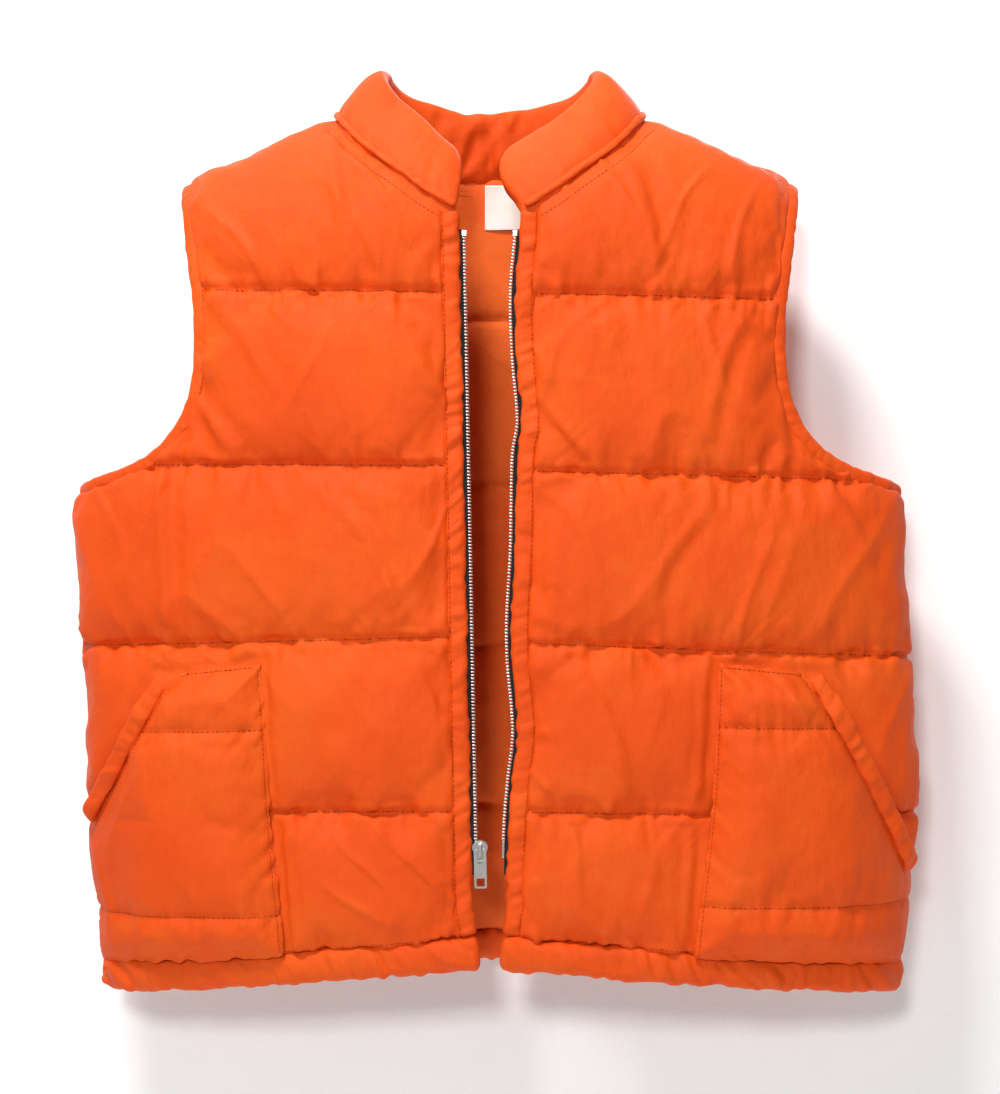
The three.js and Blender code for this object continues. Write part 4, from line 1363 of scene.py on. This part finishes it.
def pocket_cover(x, z):
    """1 where a pocket lies over the front, and 0 beside it."""
    slope = (POCKET_TOP[1][1] - POCKET_TOP[0][1]) / (POCKET_TOP[1][0] - POCKET_TOP[0][0])
    inner = np.interp(z, (POCKET_INNER_LOW[1], POCKET_TOP[0][1]), (POCKET_INNER_LOW[0], POCKET_TOP[0][0]))
    top = POCKET_TOP[0][1] + slope * (np.abs(x) - POCKET_TOP[0][0])
    beside = -side_of_line(np.abs(x), z, smooth_line(POCKET_SLANT, 24))
    return ease((np.abs(x) - inner) / 9 + 1) * ease((top - z) / 9 + 1) * ease(beside / 9 + 1)


class VEST_OT_pockets(VestPart, bpy.types.Operator):
    """Padded pockets with a slanted mouth"""

    bl_idname = "vest.pockets"
    bl_label = "Pockets"

    def build(self, sizes, colours):
        for side_name, seed in (("right", 501), ("left", 541)):
            self.add_body(side_name, seed, sizes, colours)
            self.add_mouth(side_name, seed + 20, sizes, colours)

    def add_body(self, side_name, seed, sizes, colours):
        side = SIDES[side_name]
        bottom, top, inner, outer, mouth = pocket_edges(side)
        flat = patch_between(bottom, top, inner, outer)
        length, z = flat[..., 0], flat[..., 1]
        sewn = np.min([gap_to(flat, line) for line in (bottom, top, inner)], axis=0)
        at_side = gap_to(flat, outer[:2])
        seams = POCKET_QUILTING[side_name]
        quilt = gap_to_seams(length, z, seams)
        at_mouth = gap_to(flat, mouth)
        towards_side = nearing_side(length)
        inwards = ease(np.minimum(sewn, at_side) / 24)
        level = mix(*POCKET_RIM_LEVEL, towards_side) + mix(*POCKET_BELLY, towards_side) * inwards
        level = level - MOUTH_SINKS * (1 - ease((at_mouth - 6) / 12)) * (1 - 0.8 * towards_side)
        loft = pillow(np.minimum(sewn, quilt) / 30) * (0.1 + 0.9 * ease((at_mouth - 6) / 24))
        start, out = off_cloth(flat, side, level + 1.8 * loft)
        quads = grid_faces(*flat.shape[:2])
        rise = 5.0 * loft
        slimmer = (1 - 0.5 * towards_side) * (0.1 + 0.9 * ease((at_mouth - 8) / 22))
        trial = make_piece("pocket_trial", start.reshape(-1, 3), quads, [shell_finish(colours)])
        edge = np.minimum(np.minimum(sewn, quilt), np.minimum(at_side, at_mouth))
        moved = swell(trial, np.where(edge.ravel() < 2.0)[0], sizes.pressure, sizes.slack)
        bpy.data.objects.remove(trial)
        lifted = (moved.reshape(start.shape) * out).sum(-1)
        rise = 0.5 * rise + 0.5 * np.clip(1.8 * loft + lifted, -1, 9)
        shell, _ = off_cloth(flat, side, level + rise * slimmer)
        lining, _ = off_cloth(flat, side, level - mix(3.0, 4.6, ease(sewn / 9)))
        cloths = (shell_finish(colours), lining_finish(colours))
        name, node_name = f"pocket_pad_{side_name}", f"pocket_{{}}_{side_name}"
        shell, lining = shell.reshape(-1, 3), lining.reshape(-1, 3)
        piece = padded_piece(name, shell, lining, quads, cloths, node_name)
        crease_pocket(piece, side, (bottom, top, inner), seams, seed)

    def add_mouth(self, side_name, seed, sizes, colours):
        side = SIDES[side_name]
        *_, mouth = pocket_edges(side)
        path = resample(mouth, count=80)[0]
        inset = offset_line(path, POCKET_TRIM / 2 - 1)
        from_top = np.hypot(*(inset - inset[-1]).T)
        from_side = np.hypot(*(inset - inset[0]).T)
        level = mix(*MOUTH_LEVEL, ease(from_top / 30)) - 6.5 * nearing_side(inset[:, 0])
        level = level - 4.0 * (1 - ease(from_side / 10))
        centres, _ = off_cloth(inset, side, level)
        gathered_strip(
            f"pocket_edge_{side_name}", centres, surface_out, (POCKET_TRIM + 1, 7.0),
            0.85 * sizes.gather / MM, seed, shell_finish(colours), [f"pocket_mouth_{side_name}"],
        )


def crease_pocket(piece, side, sewn_lines, quilting, seed):
    """Small gathers along a pocket's seams, and soft folds across it."""
    points = mesh_points(piece.data)
    normals = mesh_normals(piece.data)
    x, z = np.abs(points[:, 0]), points[:, 2]
    flat = onto_cloth(np.stack([x, z], axis=1), side)
    lines = [resample(line, count=12)[0] for line in sewn_lines]
    edges = np.min([gap_to(flat, line) for line in lines], axis=0)
    seams = gap_to_seams(x, z, quilting)
    along_edges = puckers(flat[:, 0] + flat[:, 1], edges, seed)
    along_seams = puckers(flat[:, 0], seams, seed + 3)
    folds = creases(points[:, 0], z, seed + 6) * ease(np.minimum(edges, seams) / 15)
    groove = np.exp(-(((edges - 3) / 1.6) ** 2)) + np.exp(-((seams / 1.8) ** 2))
    depth = 1.6 * along_edges + 1.9 * along_seams + 1.6 * folds - 1.1 * groove
    set_mesh_points(piece.data, points + normals * depth[:, None])


# ---- Zip --------------------------------------------------------------------------------------
ZIP_Y = -BODY_DEPTH - 0.15  # the zip's middle plane
TOOTH_PITCH = 2.3
TOOTH_OUTLINE = ((-1.45, -0.42), (-0.9, -0.62), (0.2, -0.48), (1.1, -0.66), (1.45, -0.3),
                 (1.45, 0.3), (1.1, 0.66), (0.2, 0.48), (-0.9, 0.62), (-1.45, 0.42))
TOOTH_LEVELS = ((-1.38, 0.72), (-1.0, 1.0), (1.0, 1.0), (1.38, 0.72))  # depth, and share of the outline
TAPE_REACH = (1.0, 14.6)  # from the teeth's middle, across the tape
TAPE_END_Z = -532.3


def chain_path(side_name, top, end):
    """Path of a row of teeth from top to end."""
    z = np.linspace(top, end, 300)
    x = SIDES[side_name] * (chain_x(z) + edge_wave(z, side_name))
    return np.stack([x, np.full_like(z, ZIP_Y), z], axis=1)


def tooth(side):
    """One tooth: a stamped block that grips the tape, with a rounded head towards the opening."""
    outline = np.array(TOOTH_OUTLINE) * (-side, 1)
    rings = [np.insert(outline * share, 1, depth, axis=1) for depth, share in TOOTH_LEVELS]
    return np.vstack(rings), tube_faces(len(rings), len(outline))


def copies(shape, faces, places, across, outward, along):
    """Points and faces of a small shape repeated at each place, turned into its frame."""
    turned = (
        shape[None, :, 0:1] * across[:, None]
        + shape[None, :, 1:2] * outward[:, None]
        + shape[None, :, 2:3] * along[:, None]
    )
    points = (turned + places[:, None]).reshape(-1, 3)
    repeated = [tuple(v + k * len(shape) for v in face) for k in range(len(places)) for face in faces]
    return points, repeated


def refined(node, finish, body="root", bevel=0.35):
    """A finished copy of a hard CAD piece, with rounded edges in place of sharp ones."""
    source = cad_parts[node]
    mesh = source.data.copy()
    mesh.transform(source.matrix_world)
    mesh.materials.clear()
    mesh.materials.append(finish)
    shape = bmesh.new()
    shape.from_mesh(mesh)
    bmesh.ops.remove_doubles(shape, verts=shape.verts, dist=0.00001)
    bmesh.ops.dissolve_limit(shape, angle_limit=math.radians(1.5), verts=shape.verts, edges=shape.edges)
    shape.to_mesh(mesh)
    shape.free()
    piece = bpy.data.objects.new(node.replace("zip_", "metal_"), mesh)
    bpy.context.collection.objects.link(piece)
    rounder = piece.modifiers.new("rounder", "BEVEL")
    rounder.width = bevel * MM
    rounder.segments = 3
    rounder.limit_method = "ANGLE"
    rounder.angle_limit = math.radians(32)
    rounder.harden_normals = True
    apply_modifiers(piece)
    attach(piece, body)
    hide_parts(node)


class VEST_OT_zip(VestPart, bpy.types.Operator):
    """Zip tapes, metal teeth, stops, pins, box, slider and pull tab"""

    bl_idname = "vest.zip"
    bl_label = "Zip"

    def build(self, sizes, colours):
        for side_name in SIDES:
            self.add_teeth(side_name, colours)
            self.add_tape(side_name, colours)
            refined(f"zip_top_stop_{side_name}", nickel_finish(colours))
        for node in ("zip_retainer_pin", "zip_insertion_pin"):
            refined(node, nickel_finish(colours), bevel=0.6)
        refined("zip_retainer_box", nickel_finish(colours), bevel=0.7)
        refined("zip_slider", nickel_finish(colours), "slider", 0.45)
        refined("zip_slider_bridge", nickel_finish(colours), "slider", 0.35)
        refined("zip_pull_tab", nickel_finish(colours), "pull_tab", 0.35)

    def add_teeth(self, side_name, colours):
        side = SIDES[side_name]
        path = chain_path(side_name, ZIP_TOP_Z - 1, ZIP_END_Z + 1)
        places, _ = resample(path, step=TOOTH_PITCH)
        along = -unit(np.gradient(places, axis=0))
        outward = np.broadcast_to([0.0, -1.0, 0.0], places.shape)
        across = np.cross(outward, along)
        shape, faces = tooth(side)
        points, faces = copies(shape, faces, places, across, outward, along)
        make_piece(
            f"metal_teeth_{side_name}", points, faces, [nickel_finish(colours)],
            [f"zip_teeth_{side_name}"],
        )

    def add_tape(self, side_name, colours):
        side = SIDES[side_name]
        path, along = resample(chain_path(side_name, ZIP_TOP_Z + 5, TAPE_END_Z), step=3.0)
        across = np.linspace(*TAPE_REACH, 7)
        points = path[:, None] + np.array([side, 0, 0]) * across[None, :, None]
        points[..., 1] += 0.18 * value_noise(along[:, None] / 9, across[None] / 5, 601)
        name = f"black_tape_{side_name}"
        piece = cloth_sheet(name, points, 0.8, tape_finish(colours), f"zip_tape_{side_name}")


# ---- Stitches ---------------------------------------------------------------------------------
STITCH_LENGTH, STITCH_WIDTH = 0.74, 0.7  # share of the pitch; millimetres
NECK_ROW_GAP = 7.0  # from the neck seam to the row of stitches outside it


def one_stitch(length):
    """A short thread as a six-sided spindle along Z."""
    turns = np.linspace(0, 2 * math.pi, 6, endpoint=False)
    rings = []
    for share, radius in ((-0.5, 0.35), (-0.3, 1.0), (0.3, 1.0), (0.5, 0.35)):
        r = radius * STITCH_WIDTH / 2
        ring = [(r * math.cos(a), r * math.sin(a) * 0.8, share * length) for a in turns]
        rings.append(ring)
    return np.vstack(rings), tube_faces(4, 6)


def surface_tree(names):
    """Search tree over the surfaces of some finished pieces, in millimetres."""
    points, faces = [], []
    for name in names:
        mesh = bpy.data.objects[name].data
        first = len(points)
        points += mesh_points(mesh).tolist()
        faces += [[first + v for v in polygon.vertices] for polygon in mesh.polygons]
    return BVHTree.FromPolygons(points, faces)


def sew(name, paths, names, pitch, finish, outwards=surface_out, zigzag=0.0):
    """Rows of stitches along the paths, laid on the surfaces of the named pieces."""
    tree = surface_tree(names)
    all_points, all_faces = [], []
    shape, faces = one_stitch(pitch * STITCH_LENGTH)
    for path in paths:
        places, _ = resample(path, step=pitch)
        outs = outwards(places)
        found = []
        for place, out in zip(places, outs):
            hit, normal, _, _ = tree.ray_cast(Vector(place + out * 30), Vector(-out), 60)
            if hit is not None:
                found.append((*hit, *normal))
        if len(found) < 3:
            continue
        found = np.array(found)
        hits, normals = found[:, :3], unit(found[:, 3:])
        steps = np.diff(hits, axis=0)
        near = np.linalg.norm(steps, axis=1) < 2.5 * pitch
        along = unit(steps)[near]
        outward = unit(normals[:-1] + normals[1:])[near]
        middle = ((hits[:-1] + hits[1:]) / 2)[near] + outward * 0.08
        across = unit(np.cross(outward, along))
        turn = zigzag * np.where(np.arange(len(along)) % 2, 1.0, -1.0)[:, None]
        along = unit(along + across * turn)
        across = unit(np.cross(outward, along))
        points, quads = copies(shape, faces, middle, across, outward, along)
        first = sum(len(part) for part in all_points)
        all_points.append(points)
        all_faces += [tuple(first + v for v in quad) for quad in quads]
    make_piece(name, np.vstack(all_points), all_faces, [finish])


def quilting_paths(face, side_name):
    """The quilting seams of one panel, as paths from the middle to the sides."""
    side = SIDES.get(side_name, 0.0)
    paths = []
    for z, drop in QUILTING[(face, side_name)]:
        half = half_width(np.array(z), side or 1.0) - 3
        inner = -half if face == "back" else edge_x(np.array(z)) + FACING_WIDTH
        x = np.linspace(inner, half, 200) * (side or 1.0)
        if z > UNDERARM_Z:
            arm = smooth_line(ARMHOLE, 40)[::-1]
            reach = np.interp(z, arm[:, 1], arm[:, 0]) - BINDING_WIDTH
            x = x[np.abs(x) < reach]
        level = z - drop * np.abs(x) / CHEST_HALF
        path = on_face(face, x, level)
        if face == "front":
            path = path[pocket_cover(x, level) < 0.5]
        paths.append(path)
    return paths


def hem_seam(face, side_name):
    side = SIDES.get(side_name, 0.0)
    half = CHEST_HALF - HEM_TAPER - PANEL_HALF - 3
    x = np.linspace(-half, half, 300) if face == "back" else side * np.linspace(14, half, 200)
    return on_face(face, x, hem_z(x, face) + HEM_BAND + 3.0)


def neck_row(face, side):
    """Row of stitches just outside the neck seam."""
    line = smooth_line(NECK_FRONT if face == "front" else NECK_BACK, 40)[:-5]
    x, z = offset_line(line, -NECK_ROW_GAP).T
    keep = x > (EDGE_FROM_CHAIN + CHAIN_TOP_X + 6 if face == "front" else 0)
    return on_face(face, side * x[keep], z[keep])


def pocket_rows(side_name):
    """Stitches inside a pocket's inner and top edges, and along the inside of its mouth strip."""
    side = SIDES[side_name]
    _, top, inner, _, mouth = pocket_edges(side)
    rows = []
    for line, inset in ((inner, -2.6), (top, -2.6), (mouth, POCKET_TRIM + 1.0)):
        path = offset_line(resample(line, count=60)[0], inset)
        rows.append(off_cloth(path, side, np.zeros(len(path)))[0])
    for level, drop in POCKET_QUILTING[side_name]:
        half = half_width(np.array(level), side) - 4
        x = np.linspace(POCKET_TOP[0][0] - 12, half, 90)
        z = level - drop * x / CHEST_HALF
        on_pocket = pocket_cover(x, z) > 0.95
        rows.append(on_face("front", x[on_pocket], z[on_pocket]) * (side, 1, 1))
    return rows


class VEST_OT_stitches(VestPart, bpy.types.Operator):
    """Rows of stitches along the quilting, the edges and the pockets"""

    bl_idname = "vest.stitches"
    bl_label = "Stitches"

    def build(self, sizes, colours):
        thread = thread_finish(colours)
        pitch = sizes.stitch / MM
        for side_name, side in SIDES.items():
            quilt = [f"front_quilt_{side_name}"]
            rows = quilting_paths("front", side_name)
            rows += [hem_seam("front", side_name), neck_row("front", side)]
            sew(f"stitches_front_{side_name}", rows, quilt, pitch, thread)
            edge = facing_path(side_name) + np.array([side * (FACING_WIDTH / 2 - 2.6), 0, 0])
            sew(f"stitches_edge_{side_name}", [edge], [f"front_edge_{side_name}"], pitch, thread)
            pocket = [f"pocket_pad_{side_name}"]
            sew(f"stitches_pocket_{side_name}", pocket_rows(side_name), pocket, pitch, thread)
            self.sew_armhole(side_name, side, pitch, thread)
        rows = quilting_paths("back", "both") + [hem_seam("back", "both")]
        rows += [neck_row("back", side) for side in SIDES.values()]
        sew("stitches_back", rows, ["back_quilt"], pitch, thread)
        self.sew_neck_tape(thread)

    def sew_armhole(self, side_name, side, pitch, thread):
        row = armhole_loop(side, BINDING_WIDTH - 1.6)
        inner = armhole_loop(side, BINDING_WIDTH + 4)
        trim = [f"armhole_trim_{side_name}"]

        def outwards(points):
            ways = away_from(inner)(points[:-1])
            return np.vstack([ways, ways[:1]])

        sew(f"stitches_armhole_{side_name}", [row], trim, pitch, thread, outwards)

    def sew_neck_tape(self, thread):
        x = np.linspace(-80, 80, 100)
        line = smooth_line(NECK_BACK, 40)
        row = on_face("back", x, np.interp(np.abs(x), line[:, 0], line[:, 1]) - 9.0)
        sew("stitches_neck_tape", [row], ["neck_binding_tape"], 2.4, thread, inwards, zigzag=1.1)


def inwards(points):
    return -surface_out(points)


# ---- Panel and start --------------------------------------------------------------------------
OPERATORS = (
    VEST_OT_stage,
    VEST_OT_quilts,
    VEST_OT_facings,
    VEST_OT_bindings,
    VEST_OT_hems,
    VEST_OT_collar,
    VEST_OT_neck,
    VEST_OT_pockets,
    VEST_OT_zip,
    VEST_OT_stitches,
)


class VEST_PT_parts(bpy.types.Panel):
    """The vest's pieces, in the order in which they are sewn"""

    bl_idname = "VEST_PT_parts"
    bl_label = "Safety Vest"
    bl_space_type = "VIEW_3D"
    bl_region_type = "UI"
    bl_category = "Vest"

    def draw(self, context):
        layout = self.layout
        for settings in (context.scene.vest_sizes, context.scene.vest_colours):
            for name in settings.__annotations__:
                layout.prop(settings, name)
        for operator in OPERATORS:
            layout.operator(operator.bl_idname)


CLASSES = (VestSizes, VestColours, *OPERATORS, VEST_PT_parts)


def register():
    for cls in CLASSES:
        bpy.utils.register_class(cls)
    bpy.types.Scene.vest_sizes = PointerProperty(type=VestSizes)
    bpy.types.Scene.vest_colours = PointerProperty(type=VestColours)


def unregister():
    del bpy.types.Scene.vest_colours
    del bpy.types.Scene.vest_sizes
    for cls in reversed(CLASSES):
        bpy.utils.unregister_class(cls)


def main():
    register()
    for operator in OPERATORS:
        group, name = operator.bl_idname.split(".")
        getattr(getattr(bpy.ops, group), name)()


if __name__ == "__main__":
    main()
